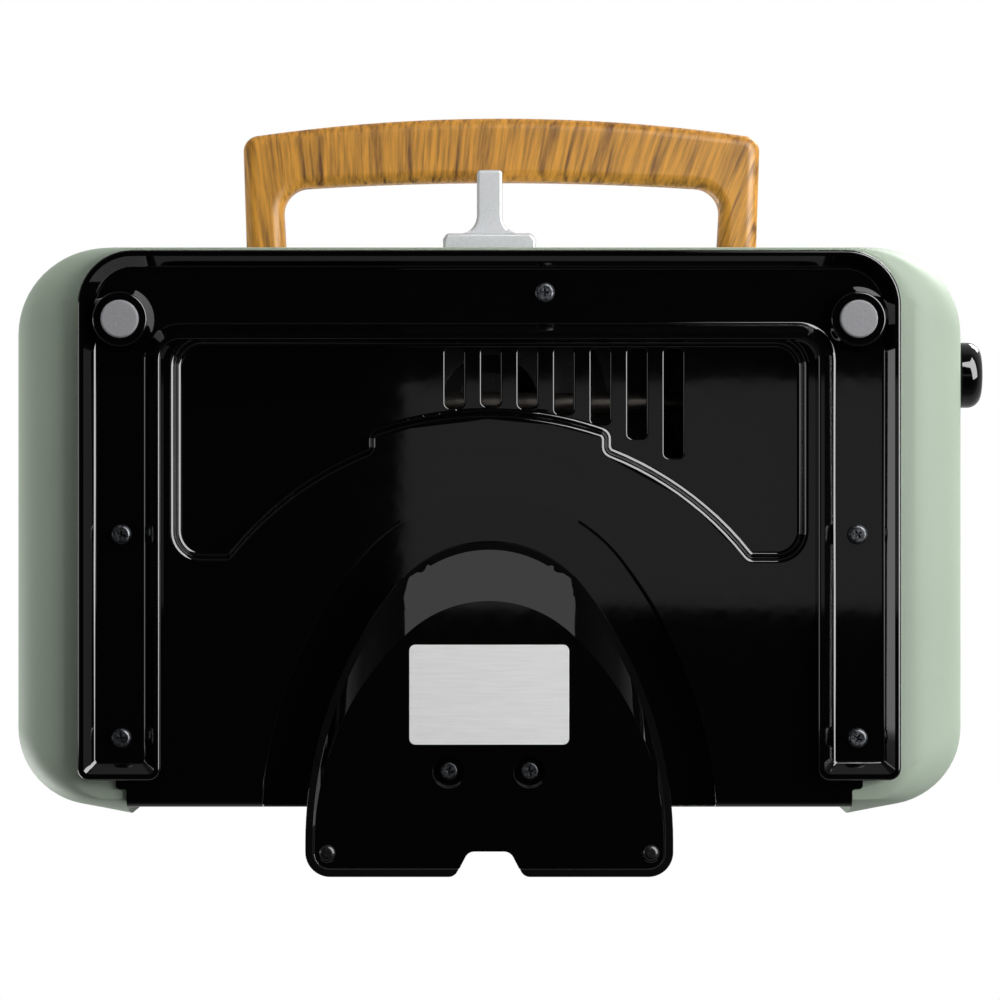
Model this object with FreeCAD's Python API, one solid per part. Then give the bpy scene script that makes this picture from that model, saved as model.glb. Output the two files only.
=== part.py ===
"""Six-ring donut maker: hinged lid, squeeze latch, control knob and cord-wrap rear stand.

Millimetres, +Z up. The front with the handle faces -Y and the knob is on +X. The shapes are
drawn about the middle of the shells, and every piece is moved at the end so that the origin
lies on the floor under the middle of the overall box.
"""
import FreeCAD
import Part
import math
import os

# Shells
body_half_width = 145.4
body_front = 73.6
body_rear = 101.0
front_corner_radius = 26.5
rear_corner_radius = 24.0
rear_slope_drop = 7.9
rear_slope_run = 40.0
rear_slope_round = 30.0
shell_wall = 2.5
under_z = 12.0
under_curve_height = 24.0
under_lip = 1.0
under_rear_tuck = 6.0
under_rear_radius = 10.0
under_rear_drop = 1.0
under_steps = 8
parting_z = 58.0
parting_gap = 0.6
lid_height = 41.4
lid_edge_margin = 2.0
rear_opening_inset = 35.4
part_clearance = 0.3

# Base pan
pan_wall = 2.0
pan_side_inset = 21.4
pan_front_inset = 1.9
pan_corner_radius = 16.5
pan_end_setback = 13.0
pan_end_radius = 3.6
pan_tab_width = 3.2
pan_tab_length = 3.0
pan_rim_z = 17.0
panel_z = 10.0
rail_width = 25.0
front_rail_width = 27.0
rail_inner_radius = 6.0
lip_z = 3.5
lip_width = 1.9
lip_round = 0.9
channel_z = 6.7
channel_slope = 3.2
channel_round = 1.5
channel_corner_radius = 1.0
pocket_side_inset = 29.0
pocket_rear = 21.0
pocket_corner_radius = 8.0
pocket_z = 15.0
pocket_round = 1.8
pocket_step_radius = 2.2
disc_centre_y = 82.4
disc_radius = 100.0
disc_middle_radius = 105.0
disc_middle_half = 35.5
arc_recess_radius = 94.5
arc_recess_half = 27.0
arc_recess_depth = 0.8
recess_z = 20.0
cord_groove_width = 13.5
groove_round = 0.8
vent_count = 7
mouth_steps = 3
vent_pitch = 11.1
vent_width = 5.7
vent_first_x = -10.6
vent_gap = 0.6
vent_round = 0.6
rear_edge_round = 2.5
rear_wall_drop = 0.6
rear_wall_setback = 4.4
gland_z = 34.0
gland_bore_radius = 3.6
gland_barrel_radius = 5.6
gland_flange_radius = 7.6
gland_flange = 2.0
gland_inner_radius = 6.6

# Rear stand
stand_z = 1.0
stand_bevel_z = 5.0
stand_rim_z = 6.2
stand_top_z = 8.0
stand_apex = 16.2
stand_top_radius = 37.0
stand_half_width = 55.5
stand_wide_reach = 6.0
stand_reach = 16.3
stand_corner_radius = 7.5
stand_bevel = 2.4
crease_apex = 33.9
crease_top_radius = 36.0
crease_inset = 3.0
neck_inset = 12.0
neck_setback = 1.0
neck_wall = 2.5
notch_half = 6.3
notch_mouth_half = 10.5
notch_depth = 8.1
notch_radius = 3.0

# Feet, nubs and screws
foot_side_inset = 13.0
foot_front_inset = 20.9
foot_radius = 5.7
foot_edge = 0.7
foot_boss_radius = 10.6
foot_ring_radius = 8.1
foot_boss_round = 0.6
foot_ring_z = 1.2
foot_seat_z = 3.2
nub_side_inset = 6.9
nub_rear_inset = 7.7
nub_radius = 2.7
nub_edge = 1.6
nub_seat_z = 3.0
screw_radius = 1.5
screw_head_radius = 3.0
screw_head_height = 2.0
screw_clearance = 0.05
post_radius = 4.5
post_top_z = 26.0
post_rib = 6.0
post_rib_lift = 1.5
side_screw_inset = 13.0
side_screw_y = 14.0
side_screw_end_inset = 12.6
front_screw_x = 16.7
front_screw_inset = 12.8
base_screw_length = 14.0
stand_screw_x = 12.15
stand_screw_y = 85.2
stand_screw_seat_z = 6.0
stand_screw_length = 20.0
stand_counterbore = 4.8
stand_boss_height = 10.0

# Plates and what is behind them
plate_drop = 0.3
plate_flange = 3.0
plate_margin = 0.5
ledge_width = 6.0
ledge_height = 2.5
ring_radius = 23.5
ring_section = 11.5
ring_wall = 2.0
ring_rim_wall = 1.0
ring_back_taper = 5.0
ring_side_gap = 54.9
ring_row_pitch = 76.0
plate_screw_y = (-8.0, 50.0)
plate_screw_length = 4.6
heater_radius = 3.25
heater_gap = 0.3
heater_side_gap = 30.9
heater_bend = 18.0
heater_tail_half = 14.0
switch_x = 44.0
switch_radius = 8.0
switch_height = 5.0
switch_body_radius = 6.4
switch_tag_width = 6.0
switch_tag_thickness = 0.8
fuse_radius = 2.2
fuse_length = 16.0
fuse_strap = 5.0
fuse_strap_wall = 1.0
terminal_gap = 1.0
terminal_y = 62.0
terminal_length = 27.0
terminal_width = 16.0
terminal_height = 12.0
terminal_ways = 3

# Knob and thermostat
knob_y = -35.2
knob_z = 45.0
knob_radius = 10.15
knob_height = 6.9
knob_round = 4.2
knob_gap = 0.4
shaft_radius = 3.0
shaft_fit = 0.05
shaft_knob_depth = 4.0
thermostat_depth = 16.0
thermostat_width = 26.0
thermostat_height = 13.0
thermostat_neck_radius = 4.6

# Hinge
hinge_setback = 5.5
hinge_z = 60.0
hinge_radius = 7.0
hinge_pin_radius = 2.5
hinge_fit = 0.06
hinge_press = 0.02
hinge_lid_half = 21.6
hinge_half = 48.0
hinge_side_gap = 0.4
hinge_arm_drop = 3.0
panel_wall = 2.5
lid_panel_height = 11.4
lid_strip_height = 8.0
lid_strip_lap = 4.0
panel_screw_inset = (20.0, 75.0)
panel_screw_length = 4.4

# Handle
handle_offset = 3.7
handle_half = 81.8
handle_root_half = 80.6
handle_arm = 12.4
handle_projection = 43.6
handle_end_bow = 6.2
handle_bar = 20.0
handle_inner_bow = 2.5
handle_z = 63.0
handle_height = 14.0
handle_outer_radius = 5.0
handle_inner_radius = 8.0
handle_round = 4.0
handle_screw_length = 16.0

# Latch
latch_half = 14.5
latch_plate = 4.6
latch_gap = 1.3
latch_projection = 26.0
latch_post_half = 4.0
latch_fillet = 5.9
latch_tip_round = 1.2
latch_tab_z = 50.0
latch_tab_height = 6.0
latch_hook_z = 46.0
latch_hook_height = 2.5
latch_hook_half = 10.0
latch_hook_reach = 2.6
latch_slot_room = 2.0
latch_axis_z = 66.0
latch_barrel_radius = 2.2
latch_barrel_gap = 0.5
latch_lug_half = 5.0
latch_pin_radius = 1.1
latch_top_rise = 7.0
latch_spring_thickness = 0.4

# Indicator lamps
lens_x = 9.0
lens_y = -38.0
lens_radius = 4.2
lens_dome = 1.8
lens_stem_radius = 3.0
lens_stem_length = 5.0
lamp_radius = 2.6
lamp_length = 12.0

# Places worked out from the sizes above
rear_opening_half = body_half_width - rear_opening_inset
lid_edge_radius = min(front_corner_radius, rear_corner_radius) - lid_edge_margin
pan_half_width = body_half_width - pan_side_inset
pan_front = body_front - pan_front_inset
pan_side_end = body_rear - pan_end_setback
pocket_half_width = pan_half_width - pocket_side_inset
stand_wide_y = body_rear + stand_wide_reach
stand_rear = body_rear + stand_reach
foot_x = pan_half_width - foot_side_inset
foot_y = -pan_front + foot_front_inset
nub_x = stand_half_width - nub_side_inset
nub_y = stand_rear - nub_rear_inset
side_screw_x = pan_half_width - side_screw_inset
front_screw_y = -pan_front + front_screw_inset
lid_z = parting_z + parting_gap
lid_top = lid_z + lid_height
middle_z = parting_z + parting_gap / 2
plate_face_z = parting_z - plate_drop
ledge_top_z = plate_face_z - plate_flange
ring_back_z = plate_face_z - ring_section - ring_wall
pan_rear = body_rear - rear_wall_setback
rear_inner = pan_rear - panel_wall
neck_rear = pan_rear - neck_setback
inner_half_width = body_half_width - shell_wall
ring_rim_radius = ring_radius + ring_section + ring_rim_wall
ring_column_pitch = inner_half_width - ring_side_gap
heater_half_width = inner_half_width - heater_side_gap
groove_half = stand_half_width + cord_groove_width + pan_wall
terminal_x = -groove_half - terminal_gap - terminal_length / 2
hinge_y = body_rear + hinge_setback
handle_reach = body_front + handle_projection
handle_end_reach = handle_reach - handle_end_bow
latch_reach = body_front + latch_projection
plate_rear = rear_inner - plate_margin
plate_front = body_front - shell_wall - plate_margin
plate_middle_y = (plate_rear - plate_front) / 2
knob_root_x = body_half_width + knob_gap
knob_face_x = knob_root_x + knob_height
latch_back_y = -body_front - latch_gap
latch_front_y = latch_back_y - latch_plate
latch_axis_y = -body_front - latch_barrel_gap - latch_barrel_radius
handle_inner_y = -handle_reach + handle_bar
origin_shift = FreeCAD.Vector(
    -(knob_face_x - body_half_width) / 2,
    (handle_reach - stand_rear) / 2,
    0,
)
AXIS_X = FreeCAD.Vector(1, 0, 0)
AXIS_Y = FreeCAD.Vector(0, 1, 0)
AXIS_Z = FreeCAD.Vector(0, 0, 1)


def at(x, y, z=0.0):
    return FreeCAD.Vector(x, y, z)


def rounded_polygon(corners):
    """Face of a closed polygon whose corners (x, y, radius) are rounded by tangent arcs."""
    count = len(corners)
    starts = []
    ends = []
    arcs = []
    for index in range(count):
        x, y, radius = corners[index]
        corner = at(x, y)
        before = at(*corners[index - 1][:2]) - corner
        after = at(*corners[(index + 1) % count][:2]) - corner
        before.normalize()
        after.normalize()
        half = before.getAngle(after) / 2
        run = radius / math.tan(half)
        inward = before + after
        inward.normalize()
        starts.append(corner + before * run)
        ends.append(corner + after * run)
        arcs.append(corner + inward * (radius / math.sin(half) - radius))
    edges = []
    for index in range(count):
        if corners[index][2] > 0:
            edges.append(Part.Arc(starts[index], arcs[index], ends[index]).toShape())
        edges.append(Part.makeLine(ends[index], starts[(index + 1) % count]))
    return Part.Face(Part.Wire(edges))


def rectangle(half_width, front, rear, front_radius, rear_radius):
    """Face from y = -front to y = rear, rounded more or less at the front and rear corners."""
    return rounded_polygon([
        (-half_width, -front, front_radius),
        (half_width, -front, front_radius),
        (half_width, rear, rear_radius),
        (-half_width, rear, rear_radius),
    ])


def grown(face, distance):
    if distance == 0:
        return face
    return face.makeOffset2D(distance, fill=False)


def prism(face, z0, z1):
    low = face.copy()
    low.translate(at(0, 0, z0))
    return low.extrude(at(0, 0, z1 - z0))


def tapered(levels):
    """Solid with straight sides through faces at rising heights, given as (face, z)."""
    wires = []
    for face, z in levels:
        wire = face.OuterWire.copy()
        wire.translate(at(0, 0, z))
        wires.append(wire)
    return Part.makeLoft(wires, True, True)


def rounded_mouth(face_at, z, radius):
    """Cutter that rounds the rim of an opening at height z; face_at gives the opening grown by a distance."""
    turns = [math.pi / 2 * step / mouth_steps for step in range(mouth_steps + 1)]
    return tapered([
        (face_at(radius * (1 - math.sin(turn))), z + radius * (1 - math.cos(turn))) for turn in turns
    ])


def box(x0, x1, y0, y1, z0, z1):
    return Part.makeBox(x1 - x0, y1 - y0, z1 - z0, at(x0, y0, z0))


def rod(start, direction, radius, length):
    return Part.makeCylinder(radius, length, start, direction)


def upright(x, y, z0, z1, radius):
    return rod(at(x, y, z0), AXIS_Z, radius, z1 - z0)


def level_edges(solid, z):
    return [e for e in solid.Edges if all(abs(v.Z - z) < 1e-6 for v in e.Vertexes)]


def softened(solid, z, radius):
    """Round the edges of a solid that lie at one height."""
    return solid.makeFillet(radius, level_edges(solid, z))


def both_sides(x_values):
    return [sign * x for sign in (-1, 1) for x in x_values]


def mirrored_up(shape):
    """The lid's copy of a piece of the lower half, about the middle of the parting gap."""
    return shape.mirror(at(0, 0, middle_z), AXIS_Z)


def screw(place, direction, length):
    """Pan-head screw: the head's seat is at place, and the shank runs along direction."""
    back = place - direction * screw_head_height
    head = rod(back, direction, screw_head_radius, screw_head_height)
    crown = [e for e in head.Edges if e.Closed and abs((e.CenterOfMass - back).dot(direction)) < 1e-6]
    head = head.makeFillet(screw_head_height / 2, crown)
    return head.fuse(rod(place, direction, screw_radius, length))


# Outlines


def shell_outline(half_width, front, rear, drop, front_radius, rear_radius):
    """Outline of a shell: square at the front, with a rear edge that slopes towards its corners."""
    slope_x = half_width - rear_slope_run
    return rounded_polygon([
        (-half_width, -front, front_radius),
        (half_width, -front, front_radius),
        (half_width, rear - drop, rear_radius),
        (slope_x, rear, rear_slope_round),
        (-slope_x, rear, rear_slope_round),
        (-half_width, rear - drop, rear_radius),
    ])


def body_outline(inset=0.0):
    return shell_outline(
        body_half_width - inset,
        body_front - inset,
        body_rear - inset,
        rear_slope_drop,
        front_corner_radius - inset,
        rear_corner_radius - inset,
    )


def pan_outline():
    inner = rear_opening_half - part_clearance
    tab = inner + pan_tab_width
    tab_end = pan_side_end + pan_tab_length
    tab_radius = pan_tab_length / 3
    return rounded_polygon([
        (-pan_half_width, -pan_front, pan_corner_radius),
        (pan_half_width, -pan_front, pan_corner_radius),
        (pan_half_width, pan_side_end, pan_end_radius),
        (tab, pan_side_end, tab_radius),
        (tab, tab_end, tab_radius),
        (inner, tab_end, tab_radius),
        (inner, pan_rear, tab_radius),
        (-inner, pan_rear, tab_radius),
        (-inner, tab_end, tab_radius),
        (-tab, tab_end, tab_radius),
        (-tab, pan_side_end, tab_radius),
        (-pan_half_width, pan_side_end, pan_end_radius),
    ])


def rail_outline(inset):
    """U-shaped rail round the front and the sides, with its outline moved in by an inset."""
    outer = pan_half_width - inset
    front = -pan_front + inset
    end = pan_side_end - inset
    inner = pan_half_width - rail_width + inset
    inner_front = -pan_front + front_rail_width - inset
    end_radius = max(pan_end_radius - inset, channel_corner_radius)
    return rounded_polygon([
        (-outer, front, pan_corner_radius - inset),
        (outer, front, pan_corner_radius - inset),
        (outer, end, end_radius),
        (inner, end, end_radius),
        (inner, inner_front, rail_inner_radius + inset),
        (-inner, inner_front, rail_inner_radius + inset),
        (-inner, end, end_radius),
        (-outer, end, end_radius),
    ])


def disc(radius):
    return Part.Face(Part.Wire(Part.makeCircle(radius, at(0, disc_centre_y))))


def strip(half_width):
    return rectangle(half_width, body_front, body_rear, 0, 0)


def pocket_outline(inset):
    """Rectangle behind the front rail, less the raised disc round the stand."""
    pocket_front = pan_front - front_rail_width
    outline = rectangle(
        pocket_half_width - inset,
        pocket_front - inset,
        pocket_rear - inset,
        pocket_corner_radius,
        pocket_corner_radius,
    )
    middle = disc(disc_middle_radius + inset).common(strip(disc_middle_half + inset))
    return outline.cut(disc(disc_radius + inset)).cut(middle).Faces[0]


def sharp_uprights(solid):
    """Upright edges of a prism whose two faces meet at an angle."""
    found = []
    for edge in solid.Edges:
        if abs(edge.tangentAt(edge.FirstParameter).z) < 0.99:
            continue
        faces = solid.ancestorsOfType(edge, Part.Face)
        point = edge.Vertexes[0].Point
        normals = [face.normalAt(*face.Surface.parameter(point)) for face in faces]
        if abs(normals[0].dot(normals[1])) < 0.99:
            found.append(edge)
    return found


def pocket_form(inset, z0, z1):
    """Solid of the pocket, with the corners of its outline rounded."""
    solid = prism(pocket_outline(inset), z0, z1)
    return solid.makeFillet(pocket_step_radius, sharp_uprights(solid))


def arch(apex, top_radius, half_width, rear, corner_radius):
    """Half-round outline: a top arc, two wider side arcs that end upright, and a straight rear."""
    top_centre_y = apex + top_radius
    drop = stand_wide_y - top_centre_y
    side_radius = (half_width ** 2 + drop ** 2 - top_radius ** 2) / (2 * (half_width - top_radius))
    side_x = half_width - side_radius
    turn = math.atan2(drop, -side_x)
    touch = at(top_radius * math.cos(turn), top_centre_y - top_radius * math.sin(turn))
    middle = at(
        side_x + side_radius * math.cos(turn / 2),
        stand_wide_y - side_radius * math.sin(turn / 2),
    )
    skew = corner_radius * (1 - math.sqrt(0.5))

    def flip(point):
        return at(-point.x, point.y)

    wide = at(half_width, stand_wide_y)
    corner_start = at(half_width, max(rear - corner_radius, stand_wide_y))
    corner_radius_y = rear - corner_start.y
    corner_middle = at(half_width - skew, rear - corner_radius_y * (1 - math.sqrt(0.5)))
    corner_end = at(half_width - corner_radius, rear)
    edges = [
        Part.Arc(flip(touch), at(0, apex), touch).toShape(),
        Part.Arc(touch, middle, wide).toShape(),
        Part.makeLine(wide, corner_start),
        Part.Arc(corner_start, corner_middle, corner_end).toShape(),
        Part.makeLine(corner_end, flip(corner_end)),
        Part.Arc(flip(corner_end), flip(corner_middle), flip(corner_start)).toShape(),
        Part.makeLine(flip(corner_start), flip(wide)),
        Part.Arc(flip(wide), flip(middle), flip(touch)).toShape(),
    ]
    return Part.Face(Part.Wire(edges))


def stand_arch(offset):
    """The stand's outline, moved out by an offset all round."""
    return arch(
        stand_apex - offset,
        stand_top_radius + offset,
        stand_half_width + offset,
        stand_rear + offset,
        stand_corner_radius + offset,
    )


def groove_outline(offset):
    """Floor of the cord groove: the stand's arch moved out, and open at the rear."""
    return stand_arch(cord_groove_width + offset)


def neck_outline(inset):
    front_part = strip(body_half_width).copy()
    front_part.translate(at(0, neck_rear - inset - body_rear))
    return stand_arch(-neck_inset - inset).common(front_part).Faces[0]


# Lower half


def pan_form(inset):
    """Outer form of the pan, or with an inset its inner form: the pan is one less the other."""
    form = prism(grown(pan_outline(), -inset), panel_z + inset, pan_rim_z + inset)
    pocket = pocket_form(-inset, lip_z, pocket_z + inset)
    if inset > 0:
        return form.cut(pocket).fuse(prism(rail_outline(inset), channel_z + inset, panel_z + 2 * inset))
    form = form.cut(softened(pocket, pocket_z, pocket_round))
    rim = [e for e in level_edges(form, panel_z) if inside_pocket(e.BoundBox)]
    form = form.makeFillet(pocket_round, rim)
    rails = softened(prism(rail_outline(0), lip_z, panel_z + 1), lip_z, lip_round)
    return form.fuse(rails).cut(channel_form())


def inside_pocket(bounds):
    front = -pan_front + front_rail_width
    return (bounds.XMin > -pocket_half_width - 1 and bounds.XMax < pocket_half_width + 1
            and bounds.YMin > front - 1 and bounds.YMax < pocket_rear + 1)


def channel_form():
    """Sloped channel along the rail, with a rounded foot."""
    foot = rail_outline(lip_width + channel_slope)
    channel = tapered([(rail_outline(lip_width), lip_z), (foot, channel_z)])
    channel = softened(channel, channel_z, channel_round)
    return channel.fuse(prism(rail_outline(lip_width), lip_z - 1, lip_z))


def vent_slots():
    slots = []
    end_radius = disc_middle_radius + pocket_round + vent_gap
    front = -pan_front + front_rail_width + pocket_round + vent_gap
    for index in range(vent_count):
        x = vent_first_x + index * vent_pitch
        rear = disc_centre_y - math.sqrt(end_radius ** 2 - x ** 2)
        half = vent_width / 2
        slot = rectangle(half, -front, rear, half / 2, half / 2)
        slot.translate(at(x, 0))
        mouth = rounded_mouth(lambda grow, face=slot: grown(face, grow), pocket_z, vent_round)
        slots.append(prism(slot, pocket_z - 1, pocket_z + pan_wall + 1).fuse(mouth))
    return slots


def base_screw_places():
    rows = (side_screw_y, pan_side_end - side_screw_end_inset)
    sides = [at(x, y) for x in (-side_screw_x, side_screw_x) for y in rows]
    return sides + [at(front_screw_x, front_screw_y)]


def hinge_arm(x0, x1, y0, z0, z1, bore):
    """Arm from the rear wall that ends in a knuckle round the hinge axis."""
    arm = box(x0, x1, y0, hinge_y, z0, z1)
    knuckle = rod(at(x0, hinge_y, hinge_z), AXIS_X, hinge_radius, x1 - x0)
    hole = rod(at(x0 - 1, hinge_y, hinge_z), AXIS_X, bore, x1 - x0 + 2)
    return arm.fuse(knuckle).cut(hole)


def make_base_pan():
    pan = pan_form(0).cut(pan_form(pan_wall))
    wall_half = rear_opening_half - part_clearance
    wall_top = parting_z - rear_wall_drop
    rear_wall = box(-wall_half, wall_half, rear_inner, pan_rear, panel_z, wall_top)
    shelf = box(
        -heater_half_width + ledge_width,
        heater_half_width - ledge_width,
        rear_inner - ledge_width,
        rear_inner,
        ledge_top_z - ledge_height,
        ledge_top_z,
    )
    hood = grown(pan_outline(), -pan_wall).common(groove_outline(pan_wall)).Faces[0]
    hood = prism(hood, panel_z, recess_z + pan_wall)
    added = [rear_wall, shelf, hood]
    for sign in (-1, 1):
        x0, x1 = sorted((sign * (hinge_lid_half + hinge_side_gap), sign * hinge_half))
        added.append(hinge_arm(
            x0, x1, rear_inner, hinge_z - hinge_radius - hinge_arm_drop, wall_top - hinge_side_gap,
            hinge_pin_radius + hinge_press,
        ))
        boss_x = sign * foot_x
        boss_height = channel_z + pan_wall - foot_ring_z
        boss = Part.makeCone(foot_ring_radius, foot_boss_radius, boss_height, at(boss_x, foot_y, foot_ring_z))
        added.append(softened(boss, foot_ring_z, foot_boss_round))
        boss_top = recess_z + pan_wall + stand_boss_height
        added.append(upright(sign * stand_screw_x, stand_screw_y, recess_z, boss_top, post_radius))
    pan = pan.multiFuse(added)

    round_y = pan_rear - rear_edge_round
    round_z = panel_z + rear_edge_round
    edge = box(-body_half_width, body_half_width, round_y, pan_rear + 1, panel_z - 1, round_z)
    edge = edge.cut(rod(at(-body_half_width, round_y, round_z), AXIS_X, rear_edge_round, 2 * body_half_width))
    arc_recess = disc(arc_recess_radius).common(strip(arc_recess_half))
    arc_cut = prism(arc_recess.Faces[0], panel_z - 1, panel_z + arc_recess_depth)
    groove = prism(groove_outline(0), 0, recess_z)
    groove_rim = rounded_mouth(groove_outline, panel_z, groove_round)
    cuts = vent_slots() + [edge, arc_cut, groove, groove_rim]
    for place in base_screw_places():
        cuts.append(upright(place.x, place.y, 0, pan_rim_z, screw_radius + 2 * screw_clearance))
    for sign in (-1, 1):
        seat = foot_radius + part_clearance
        cuts.append(upright(sign * foot_x, foot_y, 0, foot_seat_z, seat))
        pilot = screw_radius + screw_clearance
        x = sign * stand_screw_x
        cuts.append(upright(x, stand_screw_y, recess_z - 1, recess_z + stand_boss_height, pilot))
    gland_hole = gland_barrel_radius + part_clearance / 3
    cuts.append(rod(at(0, rear_inner - 1, gland_z), AXIS_Y, gland_hole, panel_wall + 2))
    for cut in cuts:
        pan = pan.cut(cut)
    return pan.removeSplitter()


def make_cord_gland():
    length = panel_wall + 2 * gland_flange
    start = at(0, rear_inner - gland_flange, gland_z)
    outer = rod(at(0, pan_rear, gland_z), AXIS_Y, gland_flange_radius, gland_flange)
    barrel = rod(start, AXIS_Y, gland_barrel_radius, length)
    inner = rod(start, AXIS_Y, gland_inner_radius, gland_flange)
    bore = rod(start - AXIS_Y, AXIS_Y, gland_bore_radius, length + 2)
    return outer.multiFuse([barrel, inner]).cut(bore)


def make_rear_stand():
    crease = arch(
        crease_apex,
        crease_top_radius,
        stand_half_width - crease_inset,
        stand_rear - crease_inset,
        stand_corner_radius - crease_inset,
    )
    flange = tapered([
        (crease, stand_z),
        (stand_arch(-stand_bevel), stand_bevel_z),
        (stand_arch(0), stand_rim_z),
    ])
    flange = flange.fuse(prism(stand_arch(0), stand_rim_z, stand_top_z))
    neck = prism(neck_outline(0), stand_top_z, recess_z)
    hollow = prism(neck_outline(neck_wall), stand_screw_seat_z + neck_wall, recess_z)
    stand = flange.fuse(neck).cut(hollow)
    notch = rounded_polygon([
        (-notch_half, stand_rear - notch_depth, notch_radius),
        (notch_half, stand_rear - notch_depth, notch_radius),
        (notch_mouth_half, stand_rear, notch_radius),
        (2 * notch_mouth_half, stand_rear, 0),
        (2 * notch_mouth_half, stand_rear + 1, 0),
        (-2 * notch_mouth_half, stand_rear + 1, 0),
        (-2 * notch_mouth_half, stand_rear, 0),
        (-notch_mouth_half, stand_rear, notch_radius),
    ])
    stand = stand.cut(prism(notch, 0, stand_top_z + 1))
    for sign in (-1, 1):
        x = sign * stand_screw_x
        stand = stand.fuse(upright(x, stand_screw_y, stand_top_z, recess_z, stand_counterbore + neck_wall))
    for sign in (-1, 1):
        x = sign * stand_screw_x
        stand = stand.cut(upright(x, stand_screw_y, 0, stand_screw_seat_z, stand_counterbore))
        stand = stand.cut(upright(x, stand_screw_y, 0, recess_z, screw_radius + 2 * screw_clearance))
        stand = stand.cut(upright(sign * nub_x, nub_y, 0, nub_seat_z, nub_radius + screw_clearance))
    return stand.removeSplitter()


def round_pad(x, y, radius, height, edge):
    return softened(upright(x, y, 0, height, radius), 0, edge)


def under_section(turn, inset):
    """Outline of the lower shell at one point of the curve that runs under to the pan."""
    reach = math.sin(turn)
    z = under_z + under_curve_height * (1 - math.cos(turn)) + inset * math.cos(turn)

    def between(low, high):
        return low + (high - inset - low) * reach

    face = shell_outline(
        between(pan_half_width + under_lip, body_half_width),
        between(pan_front + under_lip, body_front),
        between(body_rear - under_rear_tuck, body_rear),
        under_rear_drop + (rear_slope_drop - under_rear_drop) * reach,
        between(pan_corner_radius + under_lip, front_corner_radius),
        between(under_rear_radius, rear_corner_radius),
    )
    face.translate(at(0, 0, z))
    return face.OuterWire


def under_form(inset):
    turns = [math.pi / 2 * step / under_steps for step in range(under_steps + 1)]
    curve = Part.makeLoft([under_section(turn, inset) for turn in turns], True, True)
    wall = prism(body_outline(inset), under_z + under_curve_height, parting_z + inset)
    return curve.fuse(wall)


def ledge_ring():
    """Inside ledge of a shell that a plate's flange is screwed to."""
    low = ledge_top_z - ledge_height
    outer = prism(body_outline(shell_wall / 2), low, ledge_top_z)
    ring = outer.cut(prism(body_outline(shell_wall + ledge_width), low - 1, ledge_top_z + 1))
    return ring.cut(rear_gap(low - 1, ledge_top_z + 1))


def rear_gap(z0, z1):
    return box(-rear_opening_half, rear_opening_half, pan_side_end, body_rear + 1, z0, z1)


def plate_screw_places():
    x = inner_half_width - ledge_width / 2
    return [at(sign * x, y) for sign in (-1, 1) for y in plate_screw_y]


def make_lower_housing():
    shell = under_form(0).cut(under_form(shell_wall))
    shell = shell.cut(prism(grown(pan_outline(), part_clearance), 0, under_z + shell_wall + 1))
    shell = shell.cut(rear_gap(0, parting_z + 1))
    posts = [ledge_ring()]
    rib_z = pan_rim_z + post_rib_lift
    for place in base_screw_places():
        posts.append(upright(place.x, place.y, channel_z + pan_wall, post_top_z, post_radius))
        half = post_rib / 2
        if abs(place.x) > rear_opening_half:
            x0, x1 = sorted((place.x, math.copysign(inner_half_width - ledge_width, place.x)))
            posts.append(box(x0, x1, place.y - half, place.y + half, rib_z, post_top_z))
        else:
            wall_y = -body_front + shell_wall / 2
            posts.append(box(place.x - half, place.x + half, wall_y, place.y, rib_z, post_top_z))
    shell = shell.multiFuse(posts)
    pilot = screw_radius + screw_clearance
    for place in base_screw_places():
        shell = shell.cut(upright(place.x, place.y, 0, channel_z + base_screw_length + 1, pilot))
    for place in plate_screw_places():
        low = ledge_top_z - ledge_height
        shell = shell.cut(upright(place.x, place.y, low - 1, ledge_top_z + 1, pilot))
    neck = thermostat_neck_radius + part_clearance / 2
    shell = shell.cut(rod(at(inner_half_width - 1, knob_y, knob_z), AXIS_X, neck, shell_wall + 2))
    slot_half = latch_hook_half + 1
    hook_top = latch_hook_z + latch_hook_height
    slot = box(
        -slot_half, slot_half, -body_front - 1, -body_front + shell_wall + 1,
        latch_hook_z - latch_slot_room, hook_top + part_clearance,
    )
    return shell.cut(slot).removeSplitter()


def ring_places():
    columns = (-ring_column_pitch, 0, ring_column_pitch)
    rows = (plate_middle_y - ring_row_pitch / 2, plate_middle_y + ring_row_pitch / 2)
    return [at(x, y) for y in rows for x in columns]


def make_lower_plate():
    """Flat plate on the shell's ledge, with a round seat for each ring mould."""
    plate = prism(body_outline(shell_wall + plate_margin), ledge_top_z, plate_face_z)
    plate = plate.cut(box(
        -body_half_width, body_half_width, plate_rear, body_rear, ledge_top_z - 1, plate_face_z + 1,
    ))
    seat = ring_rim_radius + screw_clearance
    for place in ring_places():
        plate = plate.cut(upright(place.x, place.y, ledge_top_z - 1, plate_face_z + 1, seat))
    pilot = screw_radius + screw_clearance
    for place in plate_screw_places():
        top = ledge_top_z - ledge_height + plate_screw_length + screw_clearance
        plate = plate.cut(upright(place.x, place.y, ledge_top_z - 1, top, pilot))
    return plate.removeSplitter()


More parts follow.
